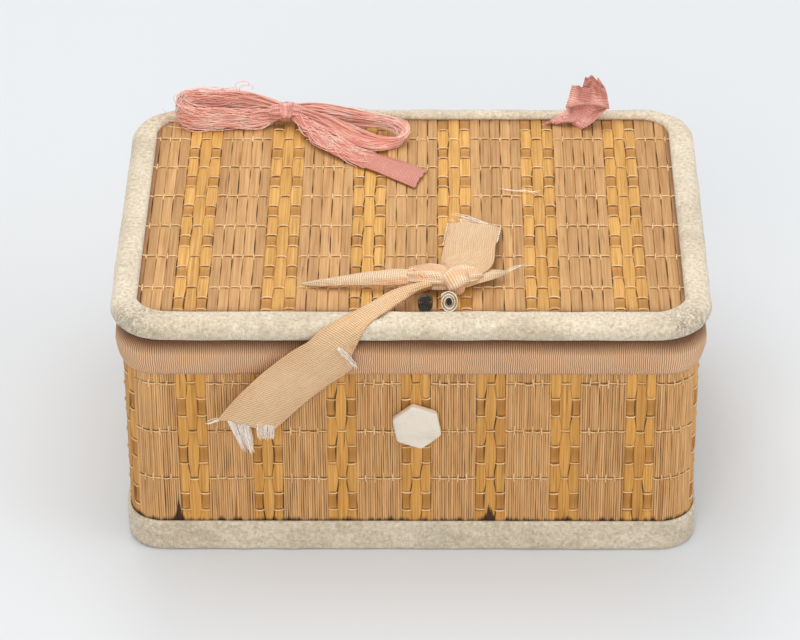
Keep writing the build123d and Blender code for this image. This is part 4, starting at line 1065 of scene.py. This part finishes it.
# Cushion under the lid.
# Silk over a thin pad of wadding, pasted to the lining paper and standing clear of the trays below.
lid_cushion = cushion("lid_cushion", "lid_pad", cell=0.0018, swell=0.0010, pasted=1, seed=121)
lid_cushion.data.materials.append(pad_silk)
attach(lid_cushion, "lid")
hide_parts("lid_pad")

# Pink hinge ribbon, left end.
# A narrow silk ribbon comes up through the lid from the hinge and is tied in a small bow. It is old and
# split into its threads, so the loops are soft pleated bundles with loose ends standing off them.
def rail(points, n):
    """Smooth curve through points given in millimetres: cubic pieces whose slopes are the mean of the
    neighbours'."""
    points = np.array(points, float) * 0.001
    mark = np.concatenate([[0], np.cumsum(np.linalg.norm(np.diff(points, axis=0), axis=1))])
    slope = np.gradient(points, mark, axis=0)
    u = np.linspace(0, mark[-1], n)
    i = np.clip(np.searchsorted(mark, u, side="right") - 1, 0, len(mark) - 2)
    span = (mark[i + 1] - mark[i])[:, None]
    f = (u - mark[i])[:, None] / span
    return ((2 * f ** 3 - 3 * f ** 2 + 1) * points[i] + (f ** 3 - 2 * f ** 2 + f) * span * slope[i]
            + (3 * f ** 2 - 2 * f ** 3) * points[i + 1] + (f ** 3 - f ** 2) * span * slope[i + 1])


def ribbon_cloth(first, second, along, across, full, pleats, seed, bulge=0.0005, ragged=0.0, limit=0.0011):
    """Cloth between two edge curves. full is its flat width at the start and end in millimetres; where the
    edges are closer than that, it gathers into lengthwise sine pleats just deep enough to hold the width,
    up to limit. With no pleats it folds flat to and fro instead, each layer under the last. It also crowns
    a little in the middle, and ragged cuts the far end unevenly. Returns the grid, its UV in metres and
    the pleat places."""
    a, b = rail(first, along), rail(second, along)
    u, v = np.meshgrid(np.linspace(0, 1, along), np.linspace(0, 1, across), indexing="ij")
    if ragged:
        u = u * (1 - ragged * (0.5 + 0.5 * unevenness(v[-1], 0 * v[-1], 0.30, seed + 5)))
    at = np.clip(u * (along - 1), 0, along - 1.001)
    i = at.astype(int)
    f = (at - i)[..., None]
    line_a, line_b = a[i] * (1 - f) + a[i + 1] * f, b[i] * (1 - f) + b[i + 1] * f
    wide = np.linalg.norm(line_a - line_b, axis=2)
    flat = 0.001 * (full[0] + (full[1] - full[0]) * u)
    middle = line_a * (1 - v[..., None]) + line_b * v[..., None]
    normal = unit(np.cross(np.gradient(middle, axis=0), np.gradient(middle, axis=1)))
    place, depth, crease = v, 0 * v, 0 * v + 0.3
    if pleats:
        slope = np.sqrt(np.maximum((flat / np.maximum(wide, 1e-5)) ** 2 - 1, 0) / 0.42)
        depth = np.minimum(slope * wide / (2 * np.pi * pleats), limit)
        drift = 0.12 * unevenness(u, v * 0, 0.45, seed) + 0.05 * unevenness(u, v, 0.2, seed + 1)
        # crease: the pleat places, for painted shade in their valleys.
        crease = np.sin(2 * np.pi * pleats * (v + drift) + seed)
        crease = crease * (0.9 + 0.25 * unevenness(u, v, 0.3, seed + 2))
        crease = np.where(depth > 0.0001, crease, 0.3)
    else:
        turn = v * np.clip(flat / np.maximum(wide, 1e-5), 1, 6)
        layer = np.floor(turn - 1e-6).clip(0)
        place = np.where(layer % 2 == 0, turn - layer, 1 - (turn - layer))
        depth = -0.00026 * turn
        # Layers folded under the top one get a low crease tag, for painted shade.
        crease = np.where(layer > 0, -0.5, 0.25 + 0.5 * np.sin(np.pi * place))
    crown = np.clip((flat - 0.001 * full[0] * 0.02) / 0.002, 0, 1)
    lean = depth * crease if pleats else depth
    raised = bulge * np.sin(np.pi * place) * crown + lean + 0.00008 * unevenness(u, v * 0.6, 0.16, seed + 3)
    cloth = line_a * (1 - place[..., None]) + line_b * place[..., None] + normal * raised[..., None]
    run = np.linalg.norm(np.diff((a + b) / 2, axis=0), axis=1).sum()
    uv = np.stack([u * run, v * 0.001 * max(full)], -1)
    return cloth, uv, crease


def ribbon_piece(name, cloth, uv, crease):
    """Ribbon mesh from its grid, with the thickness of a thread."""
    piece = grid_piece(name, cloth[None], uv[None], {"crease": crease[None]})
    thicken(piece, ribbon_thick)
    return piece


def strand_tubes(paths, radius):
    """Threads as thin three-sided tubes round paths (k, n, 3); the sides are turned off a fixed
    direction."""
    heading = unit(np.gradient(paths, axis=1))
    beside = unit(np.cross(heading, np.array([0.31, 0.22, 0.92])))
    over = np.cross(beside, heading)
    angle = np.arange(3) / 3 * 2 * np.pi
    taper = np.ones(paths.shape[1])
    taper[[0, -1]] = 0.25
    ring = np.cos(angle)[:, None] * beside[:, :, None] + np.sin(angle)[:, None] * over[:, :, None]
    return paths[:, :, None] + radius * taper[:, None, None] * ring


def drawn_strands(cloth, count, seed, lift, stray):
    """Loose threads drawn along a ribbon's grid: each follows one line of it over part of its length,
    stands off by up to `lift` and wanders sideways by `stray`."""
    rng = np.random.default_rng(seed)
    along, across = cloth.shape[:2]
    n = 14
    start = rng.uniform(0.0, 0.55, count)
    u = start[:, None] + rng.uniform(0.25, 0.45, count)[:, None] * np.linspace(0, 1, n)
    v = rng.uniform(0, 1, count)[:, None]
    v = v + 0.12 * np.sin(u * rng.uniform(4, 14, (count, 1)) + rng.uniform(0, 6, (count, 1)))
    i = np.clip(u * (along - 1), 0, along - 1).astype(int)
    j = np.clip(v * (across - 1), 0, across - 1).astype(int)
    paths = cloth[i, j]
    paths = paths + (paths - cloth.reshape(-1, 3).mean(0)) * rng.uniform(0, lift, (count, 1, 1))
    wander = rng.normal(0, stray, (count, 3, 3))
    t = np.linspace(0, 1, n)
    shape = np.stack([np.sin(np.pi * t), np.sin(2 * np.pi * t), t ** 3], 0)
    padded = np.pad(paths, ((0, 0), (1, 1), (0, 0)), "edge")
    smooth = (padded[:, :-2] + padded[:, 1:-1] + padded[:, 2:]) / 3
    return smooth + np.einsum("ksc,sn->knc", wander, shape)


left_low = [(-38.6, 51.0, 78.4), (-47, 48.6, 77.3), (-54, 48.4, 77.7), (-60, 47.6, 77.2),
            (-65, 48.2, 77.3), (-68.6, 50.2, 77.8), (-69.0, 52.4, 78.6), (-66, 54.2, 79.0),
            (-58, 54.8, 79.2), (-48, 54.0, 79.4), (-38.6, 52.6, 79.6)]
left_high = [(-38.6, 51.2, 81.4), (-47, 50.4, 81.6), (-54, 50.7, 81.4), (-60, 50.3, 81.8),
             (-65, 50.4, 82.5), (-69.2, 51.4, 84.0), (-69.6, 52.6, 85.0), (-66, 53.6, 85.7),
             (-58, 54.6, 85.6), (-49, 54.4, 85.8), (-38.6, 52.2, 83.2)]
right_low = [(-36.4, 51.6, 79.4), (-29, 51.0, 78.6), (-21, 49.0, 78.0), (-14.6, 47.3, 78.2),
             (-8.0, 45.3, 78.6), (-4.2, 43.0, 78.2), (-3.2, 39.8, 77.4), (-6.0, 36.9, 77.3),
             (-11.2, 35.4, 77.3), (-17.6, 37.4, 77.9), (-24.5, 42.6, 78.8), (-30.5, 47.2, 79.4),
             (-36.4, 50.4, 79.4)]
right_high = [(-36.4, 52.8, 82.4), (-29, 53.8, 82.2), (-21, 51.8, 82.1), (-14, 49.2, 81.8),
              (-6.6, 46.6, 81.4), (-1.8, 43.4, 80.9), (-1.2, 40.4, 79.8), (-4.8, 38.3, 79.4),
              (-10.5, 38.3, 79.7), (-17.0, 41.4, 81.0), (-24, 46.2, 81.8), (-30.5, 50.0, 82.2),
              (-36.4, 51.8, 82.6)]
end_left = [(-36.0, 50.2, 79.4), (-29.6, 38.9, 78.2), (-22.7, 31.2, 77.5), (-16.3, 26.7, 77.2),
            (-8.5, 21.3, 77.0), (0.8, 13.9, 76.9)]
end_right = [(-34.6, 51.0, 81.2), (-27.5, 44.5, 79.8), (-20, 37.6, 78.9), (-13, 33.2, 78.1),
             (-6, 30.2, 77.5), (-0.7, 27.4, 77.2), (4.3, 23.6, 77.1)]
left_cloth = ribbon_cloth(left_low, left_high, along=150, across=45, full=(10, 10), pleats=4.0, seed=51,
                          limit=0.0008)
right_cloth = ribbon_cloth(right_low, right_high, along=170, across=45, full=(10, 10), pleats=4.0, seed=53,
                           limit=0.0009)
end_cloth = ribbon_cloth(end_left, end_right, along=110, across=41, full=(10, 10), pleats=0, seed=55,
                         ragged=0.008)
left_loop = ribbon_piece("left_bow_far_loop", *left_cloth)
right_loop = ribbon_piece("left_bow_near_loop", *right_cloth)
bow_end = ribbon_piece("left_bow_end", *end_cloth)


def bundle_surface(centres, radii, squash, folds, depth, around, seed, slant=0.0, mouth=0.0):
    """Tied bundle of cloth: rings of the given radii round a smooth line through the centres, flattened by
    `squash` across, with `folds` lengthwise pleats, closed at both ends. slant leans the rings along x by
    their distance in y, and mouth is the share of the length at the start that is tagged for painted shade,
    as the shaded inside of a fold. Returns the grid, its UV and the pleat places, which also carry painted
    shade in their valleys."""
    n = len(centres) * 9
    line = rail(centres, n)
    radius = np.interp(np.linspace(0, 1, n), np.linspace(0, 1, len(radii)), radii) * 0.001
    heading = unit(np.gradient(line, axis=0))
    beside = unit(np.cross(heading, np.array([0.0, 0.0, 1.0])))
    over = np.cross(beside, heading)
    angle = np.arange(around + 1) / around * 2 * np.pi
    u, a = np.meshgrid(np.linspace(0, 1, n), angle, indexing="ij")
    crease = np.sin(folds * a + 0.9 * np.sin(5 * u + seed)) + 0.4 * np.sin((folds + 3) * a - 4 * u + seed)
    size = radius[:, None] + depth * crease * np.minimum(1, radius[:, None] / 0.002)
    ends = np.minimum(1, np.minimum(u, 1 - u) * n / 3) ** 0.5
    size = np.maximum(size * ends, 1e-6)
    spoke = np.cos(a)[..., None] * beside[:, None] * squash + np.sin(a)[..., None] * over[:, None]
    grid = line[:, None] + size[..., None] * spoke
    grid[..., 0] += slant * (grid[..., 1] - line[:, None, 1])
    # The mouth gets the lowest crease tag, for painted shade inside the fold.
    crease = np.where(u < mouth, -1.0, crease)
    uv = np.stack([u * np.linalg.norm(line[-1] - line[0]), a * radius.max()], -1)
    return grid[:, :-1], uv, crease[:, :-1]


def bundle_piece(name, *bundles):
    """One mesh of several tied bundles, each a closed grid of its own."""
    parts = [grid_piece(name, grid[None], uv[None], {"crease": crease[None]}, close_v=True)
             for grid, uv, crease in bundles]
    with bpy.context.temp_override(active_object=parts[0], selected_editable_objects=parts):
        bpy.ops.object.join()
    return parts[0]


wrap_core = bundle_surface(
    [(-44.6, 51.6, 80.4), (-41, 51.6, 80.4), (-37.6, 51.7, 80.5), (-34, 51.6, 80.4), (-30.4, 51.4, 80.4)],
    [0.6, 2.3, 2.4, 2.2, 0.6], squash=1.0, folds=9, depth=0.00024, around=54, seed=3)
wrap_turn = bundle_surface(
    [(-39.9, 51.7, 80.5), (-38.8, 51.8, 80.5), (-37.7, 51.6, 80.5), (-36.6, 51.8, 80.5),
     (-35.3, 51.7, 80.5)],
    [2.5, 2.95, 2.70, 3.0, 2.72, 3.05, 2.74, 2.95, 2.5], squash=1.0, folds=5, depth=0.00010, around=54,
    seed=5)
bow_wrap = bundle_piece("left_bow_wrap", wrap_core, wrap_turn)


def stem_piece(name, node, places, top, lean):
    """Short lengths of ribbon that come up through the lid at each x in places to the height top, inside
    the box of one node, and lean together to the knot above."""
    low, high = node_box(node)
    wide = 0.0021
    z, side = np.meshgrid(np.linspace(low[2], top, 12), np.linspace(-1, 1, 5), indexing="ij")
    leaning = 0.85 * np.clip((z - low[2]) / (top - low[2]) * 2.2 - 1.2, 0, 1)
    y = (low[1] + high[1]) / 2 + 0.0002 * side ** 2
    grids = np.stack([np.stack([x + (lean - x) * leaning + side * wide / 2, y, z], -1) for x in places])
    uv = np.broadcast_to(np.stack([z, side * wide / 2], -1), (*grids.shape[:3], 2))
    # A zero crease tag gives the stems a share of the painted shadow colour.
    piece = grid_piece(name, grids, uv, {"crease": np.zeros(grids.shape[:3])})
    thicken(piece, 0.0004)
    return piece


bow_stems = stem_piece("left_bow_stems", "left_bow_legs", (-0.0435, -0.0315), top=0.0800, lean=-0.0375)

curl = rail(
    [(-50.5, 54.2, 85.6), (-52.3, 53.4, 87.2), (-52.4, 53.0, 89.2), (-50.4, 53.0, 90.0),
     (-48.4, 53.0, 89.4), (-49.0, 53.0, 88.3)],
    14)
stray_rails = ([(-64, 48.4, 79.6), (-69, 48.8, 78.8), (-73, 50.4, 78.2), (-77.4, 52.0, 78.6)],
               [(-66, 49.6, 82.0), (-70, 50.4, 80.6), (-72.6, 51.4, 80.0), (-74.8, 53.5, 80.6)],
               [(-73, 47.8, 77.6), (-68, 47.2, 77.4), (-62, 46.6, 77.2), (-55, 47.4, 77.4)],
               [(-52, 47.8, 77.8), (-47, 46.8, 77.2), (-44.4, 47.4, 77.2), (-42.0, 49.2, 78.2)],
               [(-35, 48.6, 79.0), (-30, 41.0, 77.8), (-24, 34.4, 77.2), (-17, 29.0, 77.0)],
               [(-34.4, 48.0, 79.0), (-29.0, 39.0, 77.4), (-22.0, 32.4, 77.1), (-14.0, 27.4, 77.0)],
               [(-58, 54.6, 86.0), (-63, 54.4, 86.8), (-66, 53.6, 86.4), (-68, 53.0, 86.9)])
strays = [curl, curl + [0.0012, -0.0006, -0.0009]] + [rail(points, 14) for points in stray_rails]
strands = np.concatenate([drawn_strands(left_cloth[0], count=330, seed=61, lift=0.06, stray=0.0006),
                          drawn_strands(right_cloth[0], count=190, seed=62, lift=0.04, stray=0.0003),
                          drawn_strands(end_cloth[0][:80], count=120, seed=63, lift=0.02, stray=0.00035),
                          np.stack(strays)])
bow_strands = grid_piece("left_bow_strands", strand_tubes(strands, radius=0.00012), close_v=True)


def strand_finish(name, pale, deep):
    """Loose silk thread, paler than the ribbon it came out of; on the bow it is painted paler still, as
    painted light against the shade among the strands.
    """
    silk = Finish(name, roughness=0.55, sheen=0.1, specular=0.3)
    return silk.finish(silk.ramp(silk.noise(silk.place(), 220.0, 3.0), (0.35, deep), (0.65, pale)))


# Painted light: the bow's strands and loops are paler copies of the pink silk, lightened to make up for the
# shade among their pleats and strands.
lit_pink_strands = strand_finish("lit_pink_strands", pale=(1.0, 0.69, 0.57), deep=(1.0, 0.46, 0.36))
lit_loose_silk = ribbon_finish("lit_loose_pink_silk", pale=(1.0, 0.56, 0.45), deep=(1.0, 0.43, 0.33),
                           shadow=(0.94, 0.28, 0.19), lengthwise=0.55, thread=0.00032, folds=0.3)
# Painted shade: a darker copy of the pink silk for the bow's end, which lies flat on the lid in full light.
shaded_bow_end_silk = ribbon_finish("shaded_bow_end_silk", pale=(0.76, 0.31, 0.23), deep=(0.44, 0.14, 0.10),
                             shadow=(0.42, 0.08, 0.06), lengthwise=0.6, thread=0.0007, folds=0.6)
for piece, finish in ((left_loop, lit_loose_silk), (right_loop, lit_loose_silk), (bow_end, shaded_bow_end_silk),
                      (bow_wrap, pink_silk), (bow_stems, pink_silk), (bow_strands, lit_pink_strands)):
    piece.data.materials.append(finish)
    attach(piece, "lid")
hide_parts("left_bow_left_loop")
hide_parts("left_bow_right_loop")
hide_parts("left_bow_tail")
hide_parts("left_bow_knot")
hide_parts("left_bow_legs")

# Pink hinge ribbon, right end.
# The matching ribbon on the right has lost its bow: a short length is folded over on itself and ends in a
# torn edge.
fold_left = [(41.6, 52.2, 77.0), (40.6, 50.6, 77.1), (41.2, 50.2, 78.4), (43.4, 51.6, 79.6),
             (45.9, 53.5, 80.9), (45.6, 52.3, 81.3), (45.3, 51.3, 82.1), (46.3, 52.9, 85),
             (47.3, 53.3, 88.6)]
fold_right = [(47.6, 52.2, 77.0), (50.5, 49.0, 77.1), (52.6, 48.6, 77.9), (55.4, 50.8, 79.2),
              (58.0, 53.5, 80.7), (58.1, 52.2, 81.1), (58.2, 51.2, 81.9), (57.4, 53.0, 84.6),
              (56.4, 53.4, 87.6)]
torn_left = [(47.0, 53.9, 80.6), (48.2, 54.0, 84.0), (50.3, 54.2, 88.0), (51.2, 54.2, 92.2)]
torn_right = [(57.6, 53.9, 80.6), (57.8, 54.0, 83.6), (56.9, 54.3, 87.0), (54.6, 54.3, 90.6)]
fold_cloth = ribbon_cloth(fold_left, fold_right, along=110, across=25, full=(11.5, 12.5), pleats=1.5,
                          seed=71, bulge=0.0009, ragged=0.05)
torn_cloth = ribbon_cloth(torn_left, torn_right, along=50, across=25, full=(11.5, 5), pleats=1.5, seed=73,
                          bulge=0.0005, ragged=0.16)
stub_fold = ribbon_piece("right_stub_ribbon", *fold_cloth)
stub_torn = ribbon_piece("right_stub_torn_end", *torn_cloth)
stub_stems = stem_piece("right_stub_stems", "right_stub_legs", (0.039, 0.051), top=0.0790, lean=0.046)
for piece in (stub_fold, stub_torn, stub_stems):
    piece.data.materials.append(pink_silk)
    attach(piece, "lid")
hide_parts("right_stub_fold")
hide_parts("right_stub_end")
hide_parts("right_stub_legs")

# Front tie.
# A broader peach ribbon goes through the lid twice near its front edge and is knotted on top. One end is
# long, hangs over the binding and has come apart into white threads; the other ends are short and cut
# square or to a point.
peach_silk = ribbon_finish("peach_silk", pale=(0.98, 0.68, 0.40), deep=(0.52, 0.285, 0.115),
                           shadow=(0.58, 0.20, 0.06), lengthwise=0.42, thread=0.00062, folds=0.6)
# Painted light: a paler copy of the peach silk for the knot and the short ends, lightened to make up for the
# shade of their folds.
lit_knot_silk = ribbon_finish("lit_knot_silk", pale=(1.0, 0.79, 0.55), deep=(0.64, 0.40, 0.21),
                          shadow=(0.80, 0.34, 0.13), lengthwise=0.42, thread=0.00062, folds=0.7)
long_upper = [(6.0, -40.6, 80.6), (-0.6, -43.8, 81.0), (-5.4, -46.5, 80.8), (-10.7, -50.4, 79.7),
              (-16.6, -54.8, 78.8), (-20.5, -57.6, 78.3), (-24.6, -59.7, 76.6), (-27.8, -60.4, 73.4),
              (-32.0, -60.5, 70.6), (-39.9, -60.3, 63.5), (-49.1, -59.9, 53.1), (-52.9, -59.8, 47.9),
              (-53.6, -59.8, 46.9)]
long_lower = [(6.0, -42.6, 80.0), (2.6, -44.6, 79.9), (-0.7, -47.8, 79.5), (-5.0, -52.0, 79.1),
              (-9.4, -56.6, 78.5), (-11.6, -58.8, 77.7), (-13.2, -60.2, 75.5), (-14.6, -60.5, 71.8),
              (-16.0, -60.5, 68.4), (-15.4, -60.5, 65.4), (-17.4, -60.4, 62.9), (-22.1, -60.1, 59.0),
              (-29.4, -59.9, 52.3), (-36.2, -59.8, 45.0), (-38.3, -59.8, 42.8)]
rear_left = [(8.0, -39.5, 80.0), (8.0, -33.4, 81.0), (9.3, -20.6, 80.4), (10.4, -6.2, 78.0)]
rear_right = [(16.4, -39.5, 80.0), (21.2, -35.8, 80.6), (23.7, -21.6, 80.2), (25.1, -8.4, 77.8)]
point_upper = [(5.0, -38.4, 81.0), (-1.3, -36.6, 81.5), (-10.4, -36.2, 80.6), (-20.0, -36.3, 78.9),
               (-29.9, -36.9, 77.2)]
point_lower = [(5.0, -41.0, 79.8), (-4.3, -41.0, 79.2), (-16.3, -39.4, 78.2), (-24.8, -38.8, 77.6),
               (-30.2, -37.3, 77.0)]
short_upper = [(12.0, -37.4, 80.8), (16.1, -36.6, 80.4), (21.5, -34.3, 80.1), (26.9, -33.2, 79.0)]
short_lower = [(12.0, -40.6, 78.9), (16.0, -40.2, 78.6), (20.3, -38.4, 78.5), (27.2, -34.2, 78.6)]
long_cloth = ribbon_cloth(long_upper, long_lower, along=190, across=61, full=(15.5, 15.5), pleats=0,
                          seed=81, bulge=0.0006, ragged=0.015)
rear_cloth = ribbon_cloth(rear_right, rear_left, along=90, across=61, full=(15.5, 15.5), pleats=0, seed=83,
                          bulge=0.0008, ragged=0.03)
point_cloth = ribbon_cloth(point_upper, point_lower, along=90, across=61, full=(12, 0.5), pleats=0,
                           seed=85, bulge=0.0010)
# Painted shade on the folded underside near the knot: the front edge there gets a lower crease tag.
point_y = point_cloth[0][..., 1]
point_front = (point_y - point_y.min(1, keepdims=True)) / np.ptp(point_y, axis=1, keepdims=True)
near_knot = np.linspace(1.6, -1.6, 90).clip(0, 1)[:, None]
point_cloth[2][:] -= np.clip(2.0 - 5.0 * point_front, 0, 1.3) * near_knot
short_cloth = ribbon_cloth(short_lower, short_upper, along=60, across=61, full=(12, 0.5), pleats=0,
                           seed=87, bulge=0.0008)
tie_long = ribbon_piece("tie_long_end", *long_cloth)
tie_rear = ribbon_piece("tie_rear_end", *rear_cloth)
tie_point = ribbon_piece("tie_pointed_end", *point_cloth)
tie_short = ribbon_piece("tie_short_end", *short_cloth)

knot_core = bundle_surface(
    [(-2.0, -37.8, 79.9), (2.0, -38.3, 80.0), (6.0, -39.0, 80.1), (10.5, -39.4, 80.0),
     (15.0, -38.8, 79.8), (19.0, -37.4, 79.6)],
    [1.8, 2.5, 3.0, 2.7, 2.3, 1.3], squash=1.1, folds=7, depth=0.00028, around=60, seed=2)
knot_turn = bundle_surface(
    [(9.4, -42.4, 79.6), (10.8, -41.8, 80.1), (12.5, -41.0, 80.4), (14.2, -40.2, 80.3),
     (15.6, -39.8, 79.8)],
    [2.2, 3.3, 3.7, 3.3, 2.0], squash=1.0, folds=4, depth=0.00026, around=60, seed=8)
knot_cuff = bundle_surface(
    [(0.8, -38.2, 79.7), (3.0, -38.2, 80.1), (6.0, -38.5, 80.4), (9.0, -39.0, 80.4), (11.5, -39.8, 80.0)],
    [2.5, 3.0, 3.3, 3.2, 2.6], squash=1.18, folds=3, depth=0.00022, around=60, seed=4, slant=-0.75,
    mouth=0.17)
knot_flap = bundle_surface(
    [(11.0, -38.6, 80.2), (14.0, -38.0, 80.6), (17.5, -37.2, 80.2), (20.4, -36.6, 79.4)],
    [2.2, 2.6, 2.1, 0.7], squash=1.25, folds=4, depth=0.00020, around=48, seed=6)
tie_wrap = bundle_piece("tie_wrap", knot_core, knot_turn, knot_cuff, knot_flap)
tie_stems = stem_piece("tie_stems", "tie_legs", (0.0042, 0.0102), top=0.0795, lean=0.0072)


def fringe(first, last, tip_first, tip_last, count, seed, loose):
    """Threads at a torn edge: roots spread from first to last, tips from tip_first to tip_last, each bowed
    a little."""
    rng = np.random.default_rng(seed)
    share = rng.uniform(0, 1, (count, 1, 1))
    root = (np.array(first) * (1 - share) + np.array(last) * share) * 0.001
    tip = (np.array(tip_first) * (1 - share) + np.array(tip_last) * share) * 0.001
    tip = root + (tip - root) * rng.uniform(0.55, 1.0, (count, 1, 1)) + rng.normal(0, loose, (count, 1, 3))
    t = np.linspace(0, 1, 12)[:, None]
    bow = rng.normal(0, loose, (count, 1, 3))
    return root + (tip - root) * t + bow * np.sin(np.pi * t)


torn_edges = (
    ((-51.6, -59.95, 48.5), (-45.0, -59.95, 46.3),
     (-46.6, -60.1, 36.2), (-43.4, -60.1, 35.0), 110, 91, 0.0002),
    ((-43.0, -59.95, 47.6), (-37.8, -59.95, 44.7),
     (-42.2, -60.0, 40.2), (-38.6, -60.0, 40.0), 90, 92, 0.0002),
    ((-53.2, -59.9, 47.6), (-52.4, -59.9, 46.8), (-56.8, -59.9, 45.8), (-56.4, -59.9, 45.2), 8, 93, 0.0002),
    ((-20.4, -60.9, 71.4), (-19.6, -60.9, 71.9),
     (-14.8, -60.9, 64.4), (-14.4, -60.9, 65.0), 26, 94, 0.00035),
    ((-19.2, -60.8, 71.6), (-17.0, -60.8, 69.6),
     (-17.6, -60.9, 68.0), (-15.4, -60.9, 65.6), 16, 95, 0.0003),
    ((24.8, -8.2, 78.2), (19.2, -7.2, 78.4), (9.8, -5.2, 78.6), (11.0, -1.6, 79.0), 9, 96, 0.00025),
    ((10.6, -6.4, 78.3), (17.0, -7.0, 78.2), (9.8, -5.0, 78.5), (16.0, -5.4, 78.5), 14, 89, 0.0002),
    ((9.0, -22.6, 80.7), (10.5, -7.0, 78.2), (8.7, -22.4, 80.5), (10.1, -6.7, 78.1), 60, 97, 0.00004),
    ((23.9, -20.6, 80.2), (25.1, -8.4, 78.0), (24.3, -20.4, 80.1), (25.5, -8.2, 77.9), 60, 88, 0.00004),
    ((26.2, -33.6, 79.0), (26.6, -33.9, 78.8), (33.8, -27.0, 78.0), (33.2, -27.6, 77.9), 3, 98, 0.0003),
)
white_ends = np.concatenate([fringe(*edge) for edge in torn_edges])
fallen_rails = ([(25.1, 14.2, 76.6), (28.8, 12.9, 76.9), (33.4, 12.0, 76.8), (37.2, 13.1, 76.6)],
                [(26.0, 13.9, 76.6), (30.2, 12.6, 76.7), (33.0, 12.3, 77.1), (35.7, 10.9, 76.6)],
                [(29.0, 12.6, 76.7), (32.0, 12.7, 77.0), (34.6, 12.2, 76.8), (36.6, 12.0, 76.6)])
white_strands = np.concatenate([white_ends, np.stack([rail(points, 12) for points in fallen_rails])])
tie_fringe = grid_piece("tie_fringe", strand_tubes(white_strands, radius=0.00009), close_v=True)
pale_strands = strand_finish("pale_strands", pale=(1.0, 0.93, 0.85), deep=(0.97, 0.84, 0.71))
for piece, finish in ((tie_long, peach_silk), (tie_rear, peach_silk), (tie_point, lit_knot_silk),
                      (tie_short, lit_knot_silk), (tie_wrap, lit_knot_silk), (tie_stems, peach_silk),
                      (tie_fringe, pale_strands)):
    piece.data.materials.append(finish)
    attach(piece, "lid")
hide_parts("tie_front_tail")
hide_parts("tie_rear_tail")
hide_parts("tie_left_tail")
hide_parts("tie_right_end")
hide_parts("tie_knot")
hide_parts("tie_legs")

# Rolled ends in front of the tie.
# Two short rolled straws lie side by side below the knot and show their ends: one blackened all through,
# one pale with its spiral showing round its hollow, where a black roll is painted shade.
tubes_low, tubes_high = node_box("tube_ends")


def rolled_end(name, x, high, outer, inner, turns):
    """A sheet rolled up: its radius grows from inner to outer over the turns; drawn out along y from an
    uneven lip, which is cut at a slant that leans back with height."""
    skin = 0.00024
    wound = 2 * np.pi * turns
    angle, y = np.meshgrid(np.linspace(0, wound, int(40 * turns)), np.linspace(0, 1, 7), indexing="ij")
    radius = inner + (outer - skin / 2 - inner) * angle / wound
    uneven, slant, forward, short = 0.00012, 0.6, 0.0010, 0.0002
    lip = uneven * np.sin(3 * angle + x * 900) + slant * (high + radius * np.sin(angle))
    depth = tubes_low[1] - forward + lip * (1 - y) + y * (tubes_high[1] - tubes_low[1] - short)
    points = np.stack([x + radius * np.cos(angle), depth, tubes_low[2] + high + radius * np.sin(angle)], -1)
    uv = np.stack([angle * outer, depth], -1)
    piece = grid_piece(name, points[None], uv[None])
    thicken(piece, skin)
    return piece


def tube_finish(name, pale, deep):
    """Rolled straw skin: streaked along its length, glossy on the outside."""
    straw = Finish(name, roughness=0.42, specular=0.45)
    streak = straw.noise(straw.place("UV", (2600.0, 120.0, 1.0)), 1.0, 4.0, 0.6)
    return straw.finish(straw.ramp(streak, (0.32, deep), (0.68, pale)), straw.bump(streak, 0.4, 0.0002))


black = (0.010, 0.008, 0.006)
dark_tube = rolled_end("dark_tube_end", x=0.0039, high=0.0023, outer=0.0023, inner=0.0001, turns=4.2)
dark_tube.data.materials.append(tube_finish("dark_tube", pale=(0.085, 0.062, 0.045), deep=black))
pale_tube = rolled_end("pale_tube_end", x=0.0105, high=0.0027, outer=0.0027, inner=0.0010, turns=2.4)
pale_tube.data.materials.append(tube_finish("pale_tube", pale=(0.88, 0.80, 0.66), deep=(0.55, 0.43, 0.29)))
# Painted shade: a black roll inside the pale one stands for the shade in its hollow.
hollow_shade = rolled_end("pale_tube_hollow_shade", x=0.0105, high=0.0029, outer=0.0010, inner=0.0001, turns=2.2)
hollow_shade.data.materials.append(tube_finish("hollow_shade", pale=(0.05, 0.038, 0.028), deep=black))
for piece in (dark_tube, pale_tube, hollow_shade):
    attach(piece, "lid")
    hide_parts("tube_ends")
